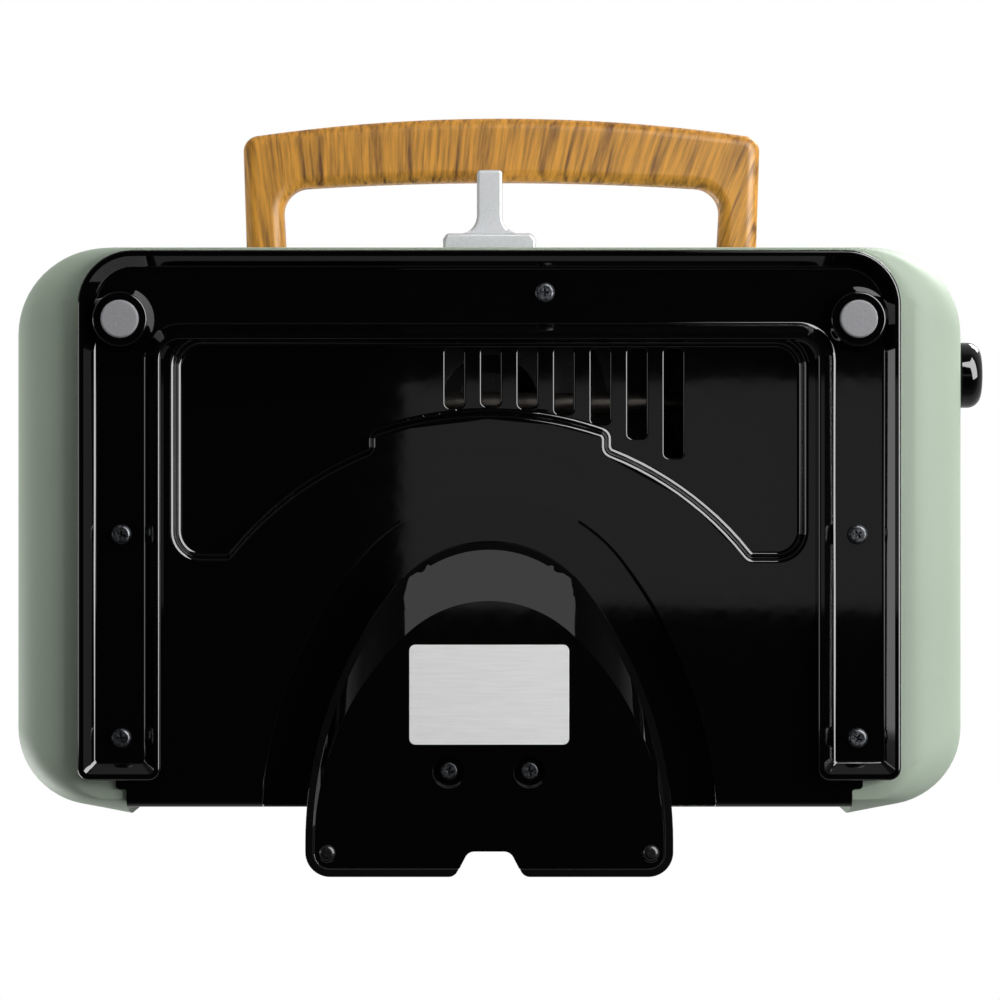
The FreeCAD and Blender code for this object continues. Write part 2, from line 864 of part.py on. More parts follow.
def make_lower_ring_moulds():
    """Six cast moulds, each with a round trough, that stop against the back of the plate."""
    outer = ring_radius + ring_section + ring_wall
    inner = ring_radius - ring_section - ring_wall
    profile = Part.makePolygon([
        at(0, 0, ledge_top_z),
        at(inner, 0, ledge_top_z),
        at(inner + ring_back_taper, 0, ring_back_z),
        at(outer - ring_back_taper, 0, ring_back_z),
        at(outer, 0, ledge_top_z),
        at(ring_rim_radius, 0, ledge_top_z),
        at(ring_rim_radius, 0, plate_face_z),
        at(0, 0, plate_face_z),
        at(0, 0, ledge_top_z),
    ])
    mould = Part.Face(profile).revolve(at(0, 0, 0), AXIS_Z, 360)
    mould = mould.cut(Part.makeTorus(ring_radius, ring_section, at(0, 0, plate_face_z)))
    moulds = []
    for place in ring_places():
        copy = mould.copy()
        copy.translate(place)
        moulds.append(copy)
    return Part.makeCompound(moulds)


def make_plate_screws():
    seat_z = ledge_top_z - ledge_height
    return Part.makeCompound([
        screw(at(p.x, p.y, seat_z), AXIS_Z, plate_screw_length) for p in plate_screw_places()
    ])


def make_lower_heater():
    """Tubular element: an open loop of straight runs and bends under the ring backs."""
    z = ring_back_z - heater_gap - heater_radius
    front = plate_middle_y - ring_row_pitch / 2
    rear = plate_middle_y + ring_row_pitch / 2
    side = heater_half_width
    corners = [(side, rear), (side, front), (-side, front), (-side, rear)]
    skew = heater_bend * (1 - math.sqrt(0.5))
    last = at(heater_tail_half, rear, z)
    edges = []
    for index, (x, y) in enumerate(corners):
        in_x = -math.copysign(1, x)
        in_y = -math.copysign(1, y - plate_middle_y)
        along_x = at(x + in_x * heater_bend, y, z)
        along_y = at(x, y + in_y * heater_bend, z)
        middle = at(x + in_x * skew, y + in_y * skew, z)
        start, end = (along_x, along_y) if index % 2 == 0 else (along_y, along_x)
        edges.append(Part.makeLine(last, start))
        edges.append(Part.Arc(start, middle, end).toShape())
        last = end
    edges.append(Part.makeLine(last, at(-heater_tail_half, rear, z)))
    section = Part.Wire(Part.makeCircle(heater_radius, at(heater_tail_half, rear, z), AXIS_X))
    return Part.Wire(edges).makePipeShell([section], True, False)


def make_limit_switch():
    cap = upright(-switch_x, plate_middle_y, ledge_top_z - switch_height, ledge_top_z, switch_radius)
    body_z = ledge_top_z - switch_height
    body = upright(-switch_x, plate_middle_y, body_z - switch_height, body_z, switch_body_radius)
    tags = []
    for sign in (-1, 1):
        x0 = -switch_x + sign * switch_radius / 2 - switch_tag_thickness / 2
        y0 = plate_middle_y - switch_tag_width / 2
        tags.append(box(
            x0, x0 + switch_tag_thickness, y0, y0 + switch_tag_width,
            body_z - 2 * switch_height, body_z - switch_height,
        ))
    return cap.multiFuse([body] + tags)


def make_thermal_fuse():
    z = ledge_top_z - fuse_radius
    tube = rod(at(switch_x - fuse_length / 2, plate_middle_y, z), AXIS_X, fuse_radius, fuse_length)
    wide = 2 * fuse_radius
    strap = box(
        switch_x - fuse_strap / 2, switch_x + fuse_strap / 2,
        plate_middle_y - wide, plate_middle_y + wide,
        z - fuse_radius - fuse_strap_wall, ledge_top_z,
    )
    return strap.fuse(tube)


def make_terminal_block():
    z = panel_z + pan_wall
    block = box(
        terminal_x - terminal_length / 2, terminal_x + terminal_length / 2,
        terminal_y - terminal_width / 2, terminal_y + terminal_width / 2,
        z, z + terminal_height,
    )
    pitch = terminal_length / terminal_ways
    for index in range(terminal_ways):
        x = terminal_x + (index - (terminal_ways - 1) / 2) * pitch
        block = block.cut(upright(x, terminal_y, z + terminal_height / 2, z + terminal_height, pitch / 4))
        entry = at(x, terminal_y - terminal_width, z + terminal_height / 3)
        block = block.cut(rod(entry, AXIS_Y, pitch / 5, 2 * terminal_width))
    return block


# Knob and thermostat


def make_thermostat():
    x0 = inner_half_width - thermostat_depth
    x1 = inner_half_width - screw_clearance
    half = thermostat_width / 2
    low = knob_z - thermostat_height / 2
    body = box(x0, x1, knob_y - half, knob_y + half, low, low + thermostat_height)
    neck = rod(at(x1, knob_y, knob_z), AXIS_X, thermostat_neck_radius, shell_wall)
    bore_start = at(x0 + thermostat_depth / 2, knob_y, knob_z)
    bore = rod(bore_start, AXIS_X, shaft_radius + shaft_fit, thermostat_depth)
    return body.fuse(neck).cut(bore)


def make_thermostat_shaft():
    x0 = inner_half_width - thermostat_depth / 2 + part_clearance
    end = knob_root_x + shaft_knob_depth
    return rod(at(x0, knob_y, knob_z), AXIS_X, shaft_radius, end - x0)


def make_control_knob():
    knob = rod(at(knob_root_x, knob_y, knob_z), AXIS_X, knob_radius, knob_height)
    face_edges = [e for e in knob.Edges if e.Closed and e.CenterOfMass.x > knob_root_x + 1]
    knob = knob.makeFillet(knob_round, face_edges)
    socket = at(knob_root_x - 1, knob_y, knob_z)
    return knob.cut(rod(socket, AXIS_X, shaft_radius + hinge_press, shaft_knob_depth + 1))


# Lid


def make_lid_shell():
    outer = prism(body_outline(), lid_z, lid_top)
    outer = softened(outer, lid_top, lid_edge_radius)
    inner_top = lid_top - shell_wall
    inner = prism(body_outline(shell_wall), lid_z - 1, inner_top)
    inner = softened(inner, inner_top, lid_edge_radius - shell_wall)
    shell = outer.cut(inner)
    shell = shell.cut(rear_gap(lid_z - 1, lid_z + lid_panel_height + part_clearance))
    lug = box(
        -latch_lug_half, latch_lug_half, latch_axis_y, -body_front + shell_wall / 2,
        latch_axis_z - latch_barrel_radius, latch_axis_z + latch_barrel_radius,
    )
    eye_start = at(-latch_lug_half, latch_axis_y, latch_axis_z)
    eye = rod(eye_start, AXIS_X, latch_barrel_radius, 2 * latch_lug_half)
    shell = shell.multiFuse([mirrored_up(ledge_ring()), lug, eye])
    pilot = screw_radius + screw_clearance
    shell = shell.cut(latch_pin(latch_pin_radius + hinge_press))
    for place in plate_screw_places():
        low = ledge_top_z - ledge_height - 1
        shell = shell.cut(mirrored_up(upright(place.x, place.y, low, ledge_top_z + 1, pilot)))
    for place in handle_screw_places():
        shell = shell.cut(rod(place, -AXIS_Y, pilot + screw_clearance, shell_wall + 1))
    for place in panel_screw_places():
        shell = shell.cut(rod(place, AXIS_Y, pilot, panel_screw_length + screw_clearance))
    for sign in (-1, 1):
        hole = lens_stem_radius + part_clearance / 2
        shell = shell.cut(upright(sign * lens_x, lens_y, inner_top - 1, lid_top + 1, hole))
    return shell.removeSplitter()


def make_lid_hinge_panel():
    half = rear_opening_half - part_clearance
    panel = box(-half, half, rear_inner, pan_rear, lid_z, lid_z + lid_panel_height)
    strip_inset = shell_wall + part_clearance
    top = lid_z + lid_panel_height + lid_strip_height
    low = top - lid_strip_height - lid_strip_lap
    backing = prism(body_outline(strip_inset), low, top)
    backing = backing.cut(prism(body_outline(strip_inset + panel_wall), low - 1, top + 1))
    backing = backing.common(box(-half, half, pan_side_end, body_rear, low, top))
    arm = hinge_arm(
        -hinge_lid_half, hinge_lid_half, rear_inner, hinge_z, hinge_z + hinge_radius,
        hinge_pin_radius + hinge_fit,
    )
    panel = panel.multiFuse([backing, arm])
    for place in panel_screw_places():
        panel = panel.cut(rod(place, AXIS_Y, screw_radius + 2 * screw_clearance, panel_wall + 1))
    return panel.removeSplitter()


def panel_screw_places():
    y = body_rear - shell_wall - part_clearance - panel_wall
    z = lid_z + lid_panel_height + lid_strip_height / 2
    places = [rear_opening_half - inset for inset in panel_screw_inset]
    return [at(x, y, z) for x in both_sides(places)]


def make_hinge_panel_screws():
    return Part.makeCompound([screw(p, AXIS_Y, panel_screw_length) for p in panel_screw_places()])


def make_hinge_pin():
    return rod(at(-hinge_half, hinge_y, hinge_z), AXIS_X, hinge_pin_radius, 2 * hinge_half)


def make_handle():
    """Bowed bar on two arms that lean out a little, rounded all round."""
    outer = handle_half
    root = handle_root_half
    inner_root = root - handle_arm
    inner = outer - handle_arm
    y_root = -body_front
    y_end = -handle_end_reach
    y_inner = handle_inner_y + handle_inner_bow
    points = [at(root, y_root), at(outer, y_end), at(-outer, y_end), at(-root, y_root)]
    inner_points = [at(-inner_root, y_root), at(-inner, y_inner), at(inner, y_inner), at(inner_root, y_root)]
    edges = [
        Part.makeLine(points[0], points[1]),
        Part.Arc(points[1], at(0, -handle_reach), points[2]).toShape(),
        Part.makeLine(points[2], points[3]),
        Part.makeLine(points[3], inner_points[0]),
        Part.makeLine(inner_points[0], inner_points[1]),
        Part.Arc(inner_points[1], at(0, handle_inner_y), inner_points[2]).toShape(),
        Part.makeLine(inner_points[2], inner_points[3]),
        Part.makeLine(inner_points[3], points[0]),
    ]
    bar = prism(Part.Face(Part.Wire(edges)), handle_z, handle_z + handle_height)
    bar = bar.makeFillet(handle_outer_radius, upright_edges(bar, y_end))
    bar = bar.makeFillet(handle_inner_radius, upright_edges(bar, y_inner))
    rims = [e for z in (handle_z, handle_z + handle_height) for e in level_edges(bar, z)]
    rims = [e for e in rims if not all(abs(v.Y - y_root) < 1e-6 for v in e.Vertexes)]
    bar = bar.makeFillet(handle_round, rims)
    bar.translate(at(handle_offset, 0))
    for place in handle_screw_places():
        tip = handle_screw_length + screw_clearance
        bar = bar.cut(rod(place, -AXIS_Y, screw_radius + screw_clearance, tip))
    return bar


def upright_edges(solid, y):
    return [
        e for e in solid.Edges
        if all(abs(v.Y - y) < 1e-6 for v in e.Vertexes)
        and abs(e.Vertexes[0].Z - e.Vertexes[-1].Z) > 1
    ]


def handle_screw_places():
    arm_x = handle_root_half - handle_arm / 2
    z = handle_z + handle_height / 2
    return [at(handle_offset + sign * arm_x, -body_front + shell_wall, z) for sign in (-1, 1)]


def make_handle_screws():
    return Part.makeCompound([screw(p, -AXIS_Y, handle_screw_length) for p in handle_screw_places()])


def latch_pin(radius):
    return rod(at(-latch_half, latch_axis_y, latch_axis_z), AXIS_X, radius, 2 * latch_half)


def make_latch_lever():
    """T-shaped tab on an upright plate, with a hook below and two pivot ears above."""
    tab = rounded_polygon([
        (-latch_half, latch_back_y, 0),
        (latch_half, latch_back_y, 0),
        (latch_half, latch_front_y, latch_tip_round),
        (latch_post_half, latch_front_y, latch_fillet),
        (latch_post_half, -latch_reach, latch_tip_round),
        (-latch_post_half, -latch_reach, latch_tip_round),
        (-latch_post_half, latch_front_y, latch_fillet),
        (-latch_half, latch_front_y, latch_tip_round),
    ])
    lever = prism(tab, latch_tab_z, latch_tab_z + latch_tab_height)
    plate_top = latch_axis_z + latch_top_rise
    plate = box(-latch_half, latch_half, latch_front_y, latch_back_y, latch_hook_z, latch_axis_z)
    ears = box(-latch_half, latch_half, latch_front_y, latch_axis_y, latch_axis_z, plate_top)
    barrel = latch_pin(latch_barrel_radius)
    hook = box(
        -latch_hook_half, latch_hook_half, latch_back_y, latch_back_y + latch_hook_reach,
        latch_hook_z, latch_hook_z + latch_hook_height,
    )
    lever = lever.multiFuse([plate, ears, barrel, hook])
    slot_half = latch_lug_half + part_clearance
    slot_low = latch_tab_z + latch_tab_height + 2
    slot_front = latch_axis_y - latch_barrel_radius - part_clearance
    slot_top = latch_axis_z + latch_barrel_radius + 1
    slot = box(-slot_half, slot_half, slot_front, latch_back_y + latch_gap, slot_low, slot_top)
    lever = lever.cut(slot)
    return lever.cut(latch_pin(latch_pin_radius + hinge_fit)).removeSplitter()


def make_latch_spring():
    """Flat leaf on the lid's front wall behind the top of the lever."""
    low = latch_axis_z + latch_barrel_radius + part_clearance
    return box(
        -latch_hook_half, latch_hook_half, -body_front - latch_spring_thickness, -body_front,
        low, latch_axis_z + latch_top_rise,
    )


def make_lens(x):
    curve = (lens_radius ** 2 + lens_dome ** 2) / (2 * lens_dome)
    ball = Part.makeSphere(curve, at(x, lens_y, lid_top + lens_dome - curve))
    dome = ball.common(upright(x, lens_y, lid_top, lid_top + lens_dome, lens_radius))
    stem = upright(x, lens_y, lid_top - lens_stem_length, lid_top, lens_stem_radius)
    return dome.fuse(stem)


def make_indicator_lamps():
    top = lid_top - lens_stem_length
    return Part.makeCompound([
        upright(sign * lens_x, lens_y, top - lamp_length, top, lamp_radius) for sign in (-1, 1)
    ])


def make_base_screws():
    return Part.makeCompound([
        screw(at(p.x, p.y, channel_z), AXIS_Z, base_screw_length) for p in base_screw_places()
    ])


def make_stand_screws():
    return Part.makeCompound([
        screw(at(sign * stand_screw_x, stand_screw_y, stand_screw_seat_z), AXIS_Z, stand_screw_length)
        for sign in (-1, 1)
    ])


def make_front_feet():
    return Part.makeCompound([
        round_pad(sign * foot_x, foot_y, foot_radius, foot_seat_z, foot_edge) for sign in (-1, 1)
    ])


def make_stand_nubs():
    return Part.makeCompound([
        round_pad(sign * nub_x, nub_y, nub_radius, nub_seat_z, nub_edge) for sign in (-1, 1)
    ])


def save(name, shape):
    placed = shape.copy()
    placed.translate(origin_shift)
    placed.exportStep(os.path.join("parts", name + ".step"))
    print(name, "solids", len(placed.Solids), "valid", placed.isValid(), "volume", round(placed.Volume))


def main():
    os.makedirs("parts", exist_ok=True)
    lower_plate = make_lower_plate()
    lower_moulds = make_lower_ring_moulds()
    plate_screws = make_plate_screws()
    lower_heater = make_lower_heater()
    save("base_pan", make_base_pan())
    save("rear_stand", make_rear_stand())
    save("stand_screws", make_stand_screws())
    save("base_screws", make_base_screws())
    save("front_feet", make_front_feet())
    save("stand_nubs", make_stand_nubs())
    save("lower_housing", make_lower_housing())
    save("lower_plate", lower_plate)
    save("lower_ring_moulds", lower_moulds)
    save("lower_plate_screws", plate_screws)
    save("lower_heater", lower_heater)
    save("limit_switch", make_limit_switch())
    save("thermal_fuse", make_thermal_fuse())
    save("terminal_block", make_terminal_block())
    save("cord_gland", make_cord_gland())
    save("hinge_pin", make_hinge_pin())
    save("thermostat", make_thermostat())
    save("thermostat_shaft", make_thermostat_shaft())
    save("control_knob", make_control_knob())
    save("lid_shell", make_lid_shell())
    save("lid_hinge_panel", make_lid_hinge_panel())
    save("hinge_panel_screws", make_hinge_panel_screws())
    save("upper_plate", mirrored_up(lower_plate))
    save("upper_ring_moulds", mirrored_up(lower_moulds))
    save("upper_plate_screws", mirrored_up(plate_screws))
    save("upper_heater", mirrored_up(lower_heater))
    save("handle", make_handle())
    save("handle_screws", make_handle_screws())
    save("latch_lever", make_latch_lever())
    save("latch_pin", latch_pin(latch_pin_radius))
    save("latch_spring", make_latch_spring())
    save("power_lens", make_lens(-lens_x))
    save("ready_lens", make_lens(lens_x))
    save("indicator_lamps", make_indicator_lamps())


main()
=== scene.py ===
"""Donut maker: finishes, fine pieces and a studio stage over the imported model."""
import math

import bmesh
import bpy
from bpy.props import FloatProperty, FloatVectorProperty, PointerProperty
from bpy.types import Operator, Panel, PropertyGroup
from mathutils import Matrix, Vector


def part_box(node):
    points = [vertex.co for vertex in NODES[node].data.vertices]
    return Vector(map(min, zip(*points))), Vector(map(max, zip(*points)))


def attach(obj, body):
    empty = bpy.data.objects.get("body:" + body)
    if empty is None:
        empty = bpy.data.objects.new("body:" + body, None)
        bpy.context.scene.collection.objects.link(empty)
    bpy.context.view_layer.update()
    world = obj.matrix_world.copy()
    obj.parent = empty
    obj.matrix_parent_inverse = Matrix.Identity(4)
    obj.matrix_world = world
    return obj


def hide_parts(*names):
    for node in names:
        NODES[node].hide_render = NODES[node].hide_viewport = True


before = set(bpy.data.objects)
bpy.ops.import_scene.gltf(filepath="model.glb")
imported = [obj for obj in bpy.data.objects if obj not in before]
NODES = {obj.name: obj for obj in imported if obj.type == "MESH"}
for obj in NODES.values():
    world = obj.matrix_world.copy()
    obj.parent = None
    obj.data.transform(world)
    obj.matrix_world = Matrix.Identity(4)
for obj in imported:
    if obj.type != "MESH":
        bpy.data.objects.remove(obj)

bl_info = {
    "name": "Donut maker finish",
    "version": (1, 0, 0),
    "blender": (4, 5, 0),
    "location": "View3D > Sidebar > Donut maker",
    "description": "Gives a packed donut maker its finishes, fine pieces and studio stage",
    "category": "Object",
}

MM = 0.001

JOIN_GAP = 0.005 * MM  # corners of the CAD mesh this close are one corner
SAME_PLACE = 0.1 * MM  # corners this close lie on the same side of a piece
FLAT_ANGLE = math.radians(0.5)  # seams that bend less lie in a flat face
EDGE_ANGLE = 35  # degrees; edges that bend more are rounded and drawn sharp
STAND_CREASE = 9  # degrees; the stand's crescent has a shallow edge that shows

POINTER_REACH = 0.52  # of the knob's radius
POINTER_END = 0.9  # radius of the pointer's ends, of half its width
POINTER_INLAY = 0.2 * MM
POINTER_PROUD = 0.04 * MM
CROSS_TAPER = (0.45, 0.7, 1.0)  # size of a cross recess's floor against its mouth
FIRST_SCREW_TURN = 0.35  # radians
NEXT_SCREW_TURN = 1.1

FLOOR_Z = -0.001
FLOOR_HALF_WIDTH = 6.0
LIGHT_AIM = (0, 0, 0.04)
CAMERA_Z = 1.2
CAMERA_X, CAMERA_Y = -0.00041, 0.00355
CAMERA_LENS_MM = 144.0
CAMERA_SENSOR_MM = 36.0


def linear(hex_colour):
    """Linear red, green and blue of an sRGB hex colour."""
    channels = [int(hex_colour[i:i + 2], 16) / 255 for i in (1, 3, 5)]
    return [c / 12.92 if c <= 0.04045 else ((c + 0.055) / 1.055) ** 2.4 for c in channels]


def colour(name, description, hex_colour):
    return FloatVectorProperty(
        name=name, description=description, subtype="COLOR", size=3, min=0, max=1,
        default=linear(hex_colour),
    )


def length(name, description, millimetres):
    return FloatProperty(
        name=name, description=description, unit="LENGTH", subtype="DISTANCE",
        default=millimetres * MM, min=0, precision=5,
    )


# Sizes and colours


class FinishColours(PropertyGroup):
    mint: colour("Mint", "Matte shells", "#ABBAA8")
    black: colour("Black", "Gloss black mouldings", "#040404")
    wood_light: colour("Wood light", "Light bands of the wood print", "#EBA53E")
    wood_dark: colour("Wood dark", "Dark streaks of the wood print", "#5E3510")
    silver: colour("Silver", "Latch lacquer", "#D2D3D6")
    pad: colour("Pad", "Grey foot pads", "#929296")
    zinc: colour("Zinc", "Plated screws and pins", "#B9BBBE")
    plate_coat: colour("Plate coat", "Non-stick coating", "#2B2A2B")
    foil: colour("Foil", "Blank rating plate", "#F6F6F6")
    power: colour("Power lens", "Red lens", "#C8140E")
    ready: colour("Ready lens", "Green lens", "#1E9A3A")


class FinishSizes(PropertyGroup):
    pan_edge: length("Pan edge", "Rounding of the black mouldings' edges", 0.5)
    shell_edge: length("Shell edge", "Rounding of the shells' edges", 0.5)
    metal_edge: length("Metal edge", "Rounding of the metal pieces' edges", 0.25)
    cross_length: length("Cross length", "Tip to tip of a screw's cross recess", 3.6)
    cross_width: length("Cross width", "Width of a wing of the cross recess", 0.75)
    cross_depth: length("Cross depth", "Depth of the cross recess", 1.3)
    cross_edge: length("Cross edge", "Rounding of the crossed screws' edges", 0.12)
    label_width: length("Plate width", "Width of the blank rating plate", 48.0)
    label_depth: length("Plate depth", "Front to rear of the blank rating plate", 30.0)
    label_thickness: length("Plate thickness", "Thickness of the blank rating plate", 0.25)
    label_corner: length("Plate corner", "Corner radius of the blank rating plate", 1.8)
    label_y: length("Plate place", "Distance of the rating plate behind the origin", 62.0)
    latch_edge: length("Latch edge", "Rounding of the latch's edges", 0.9)
    latch_corner: length("Latch corner", "Rounding of the latch's front corners", 1.8)
    latch_post: length("Latch post", "Distance of the latch's post in front of its plate", 1.2)
    pointer_length: length("Pointer length", "Length of the knob's pointer line", 5.0)
    pointer_width: length("Pointer width", "Width of the knob's pointer line", 1.0)


def colours():
    return bpy.context.scene.donut_colours


def sizes():
    return bpy.context.scene.donut_sizes


# Materials


def add_node(material, kind, settings=None, links=None):
    """Add a node, set its properties or sockets, and link its inputs to (node, output) pairs."""
    node = material.node_tree.nodes.new(kind)
    for key, value in (settings or {}).items():
        if isinstance(key, int) or key in node.inputs:
            node.inputs[key].default_value = value
        else:
            setattr(node, key, value)
    for key, (source, output) in (links or {}).items():
        material.node_tree.links.new(source.outputs[output], node.inputs[key])
    return node


def new_material(name, settings):
    """A named material with a shader set by its sockets, and the Object coordinates to draw on."""
    material = bpy.data.materials.new(name)
    material.use_nodes = True
    shader = material.node_tree.nodes["Principled BSDF"]
    for key, value in settings.items():
        shader.inputs[key].default_value = value
    return material, shader, add_node(material, "ShaderNodeTexCoord")


def join(material, source, output, shader, socket):
    material.node_tree.links.new(source.outputs[output], shader.inputs[socket])


def set_ramp(ramp, stops):
    """Set a colour ramp's stops, each a place and a linear colour."""
    elements = ramp.color_ramp.elements
    elements[0].position = stops[0][0]
    elements[1].position = stops[-1][0]
    elements[0].color = (*stops[0][1], 1.0)
    elements[1].color = (*stops[-1][1], 1.0)
    for place, shade in stops[1:-1]:
        elements.new(place).color = (*shade, 1.0)


def shaded(shade, factor):
    return tuple(min(1.0, c * factor) for c in shade)


def per_metre(millimetres):
    """Noise scale that gives features of about this size."""
    return 1 / (millimetres * MM)


def gloss_black_abs():
    # ABS moulded against a polished tool: near-black, sharp reflections that waver a little, faint dust.
    shade = tuple(colours().black)
    material, shader, place = new_material("Gloss black ABS, polished mould", {"IOR": 1.53})
    sink = add_node(material, "ShaderNodeTexNoise", {"Scale": per_metre(14), "Detail": 2.0},
                    {"Vector": (place, "Object")})
    haze = add_node(material, "ShaderNodeTexNoise",
                    {"Scale": per_metre(5), "Detail": 5.0, "Roughness": 0.62},
                    {"Vector": (place, "Object")})
    dull = add_node(material, "ShaderNodeMapRange",
                    {"From Min": 0.35, "From Max": 0.75, "To Min": 0.03, "To Max": 0.055},
                    {"Value": (haze, "Fac")})
    tone = add_node(material, "ShaderNodeValToRGB", None, {"Fac": (haze, "Fac")})
    set_ramp(tone, [(0.3, shaded(shade, 0.9)), (0.75, shaded(shade, 1.1))])
    bump = add_node(material, "ShaderNodeBump", {"Strength": 0.05, "Distance": 0.2 * MM},
                    {"Height": (sink, "Fac")})
    join(material, tone, "Color", shader, "Base Color")
    join(material, dull, "Result", shader, "Roughness")
    join(material, bump, "Normal", shader, "Normal")
    return material


def matte_mint_pp():
    # Polypropylene moulded in a spark-eroded tool: even tint, fine grain that spreads the light.
    shade = tuple(colours().mint)
    material, shader, place = new_material(
        "Matte mint PP, spark-textured mould", {"IOR": 1.49, "Specular IOR Level": 0.15})
    # Real grain is near 0.1 mm; drawn at 0.7 mm so that it shows in the render.
    grain = add_node(material, "ShaderNodeTexNoise", {"Scale": per_metre(0.7), "Detail": 3.0},
                     {"Vector": (place, "Object")})
    drift = add_node(material, "ShaderNodeTexNoise", {"Scale": per_metre(60), "Detail": 3.0},
                     {"Vector": (place, "Object")})
    tone = add_node(material, "ShaderNodeValToRGB", None, {"Fac": (drift, "Fac")})
    set_ramp(tone, [(0.3, shaded(shade, 0.97)), (0.7, shaded(shade, 1.03))])
    dull = add_node(material, "ShaderNodeMapRange",
                    {"From Min": 0.3, "From Max": 0.7, "To Min": 0.46, "To Max": 0.58},
                    {"Value": (grain, "Fac")})
    bump = add_node(material, "ShaderNodeBump", {"Strength": 0.12, "Distance": 0.08 * MM},
                    {"Height": (grain, "Fac")})
    join(material, tone, "Color", shader, "Base Color")
    join(material, dull, "Result", shader, "Roughness")
    join(material, bump, "Normal", shader, "Normal")
    return material


def wood_print_abs():
    # Water-transfer print of a brown hardwood over ABS, under satin lacquer: fine grain that runs front
    # to rear, crossed here and there by the thin dark lines of growth rings.
    light = tuple(colours().wood_light)
    dark = tuple(colours().wood_dark)
    material, shader, place = new_material(
        "Wood-grain print on ABS, satin lacquer",
        {"IOR": 1.5, "Specular IOR Level": 0.3, "Coat Weight": 0.08, "Coat Roughness": 0.3})
    # The sheet was stretched as it was laid, so its lines fan out: they run straight 40 mm left of the
    # origin and lean more the further right they lie.
    parts = add_node(material, "ShaderNodeSeparateXYZ", None, {"Vector": (place, "Object")})
    across = add_node(material, "ShaderNodeMath", {"operation": "ADD", 1: 40 * MM}, {0: (parts, "X")})
    along = add_node(material, "ShaderNodeMath", {"operation": "ADD", 1: 105 * MM}, {0: (parts, "Y")})
    lean = add_node(material, "ShaderNodeMath", {"operation": "MULTIPLY"},
                    {0: (across, "Value"), 1: (along, "Value")})
    fan = add_node(material, "ShaderNodeMath", {"operation": "MULTIPLY_ADD", 1: 0.0036 / MM},
                   {0: (lean, "Value"), 2: (parts, "X")})
    laid = add_node(material, "ShaderNodeCombineXYZ", None,
                    {"X": (fan, "Value"), "Y": (parts, "Y"), "Z": (parts, "Z")})
    lie = add_node(material, "ShaderNodeMapping", {"Scale": (1.0, 0.06, 0.5)}, {"Vector": (laid, "Vector")})
    rings = add_node(material, "ShaderNodeTexNoise",
                     {"Scale": per_metre(16), "Detail": 2.0, "Roughness": 0.5, "Distortion": 0.3},
                     {"Vector": (lie, "Vector")})
    middle = add_node(material, "ShaderNodeMath", {"operation": "PINGPONG", 1: 0.06}, {0: (rings, "Fac")})
    line = add_node(material, "ShaderNodeMapRange",
                    {"interpolation_type": "SMOOTHSTEP", "From Min": 0.0, "From Max": 0.03,
                     "To Min": 0.13, "To Max": 0.0},
                    {"Value": (middle, "Value")})
    grain = add_node(material, "ShaderNodeTexNoise",
                     {"Scale": per_metre(1.3), "Detail": 4.0, "Roughness": 0.6},
                     {"Vector": (lie, "Vector")})
    both = add_node(material, "ShaderNodeMath", {"operation": "SUBTRACT"},
                    {0: (grain, "Fac"), 1: (line, "Result")})
    tone = add_node(material, "ShaderNodeValToRGB", None, {"Fac": (both, "Value")})
    set_ramp(tone, [(0.2, dark), (0.42, shaded(light, 0.6)), (0.56, shaded(light, 0.85)), (0.72, light)])
    dull = add_node(material, "ShaderNodeMapRange",
                    {"From Min": 0.2, "From Max": 0.7, "To Min": 0.48, "To Max": 0.36},
                    {"Value": (both, "Value")})
    bump = add_node(material, "ShaderNodeBump", {"Strength": 0.06, "Distance": 0.1 * MM},
                    {"Height": (both, "Value")})
    join(material, tone, "Color", shader, "Base Color")
    join(material, dull, "Result", shader, "Roughness")
    join(material, bump, "Normal", shader, "Normal")
    return material


def silver_lacquer():
    # Silver metal-flake lacquer sprayed on ABS: satin, with a faint sparkle from the flakes.
    shade = tuple(colours().silver)
    material, shader, place = new_material("Silver lacquer on ABS, satin", {"Metallic": 0.3})
    # Flakes are near 0.05 mm; drawn at 0.4 mm so that they show in the render.
    flakes = add_node(material, "ShaderNodeTexVoronoi", {"Scale": per_metre(0.4)},
                      {"Vector": (place, "Object")})
    tone = add_node(material, "ShaderNodeValToRGB", None, {"Fac": (flakes, "Color")})
    set_ramp(tone, [(0.2, shaded(shade, 0.94)), (0.8, shaded(shade, 1.05))])
    dull = add_node(material, "ShaderNodeMapRange",
                    {"From Min": 0.0, "From Max": 1.0, "To Min": 0.32, "To Max": 0.42},
                    {"Value": (flakes, "Distance")})
    join(material, tone, "Color", shader, "Base Color")
    join(material, dull, "Result", shader, "Roughness")
    return material


def zinc_plated_steel():
    # Zinc-plated steel, barrel plated: bright with small scuffs.
    shade = tuple(colours().zinc)
    material, shader, place = new_material("Zinc-plated steel", {"Metallic": 1.0})
    scuffs = add_node(material, "ShaderNodeTexNoise",
                      {"Scale": per_metre(1.2), "Detail": 6.0, "Roughness": 0.7},
                      {"Vector": (place, "Object")})
    tone = add_node(material, "ShaderNodeValToRGB", None, {"Fac": (scuffs, "Fac")})
    set_ramp(tone, [(0.3, shaded(shade, 0.75)), (0.7, shade)])
    dull = add_node(material, "ShaderNodeMapRange",
                    {"From Min": 0.3, "From Max": 0.7, "To Min": 0.42, "To Max": 0.24},
                    {"Value": (scuffs, "Fac")})
    bump = add_node(material, "ShaderNodeBump", {"Strength": 0.1, "Distance": 0.05 * MM},
                    {"Height": (scuffs, "Fac")})
    join(material, tone, "Color", shader, "Base Color")
    join(material, dull, "Result", shader, "Roughness")
    join(material, bump, "Normal", shader, "Normal")
    return material


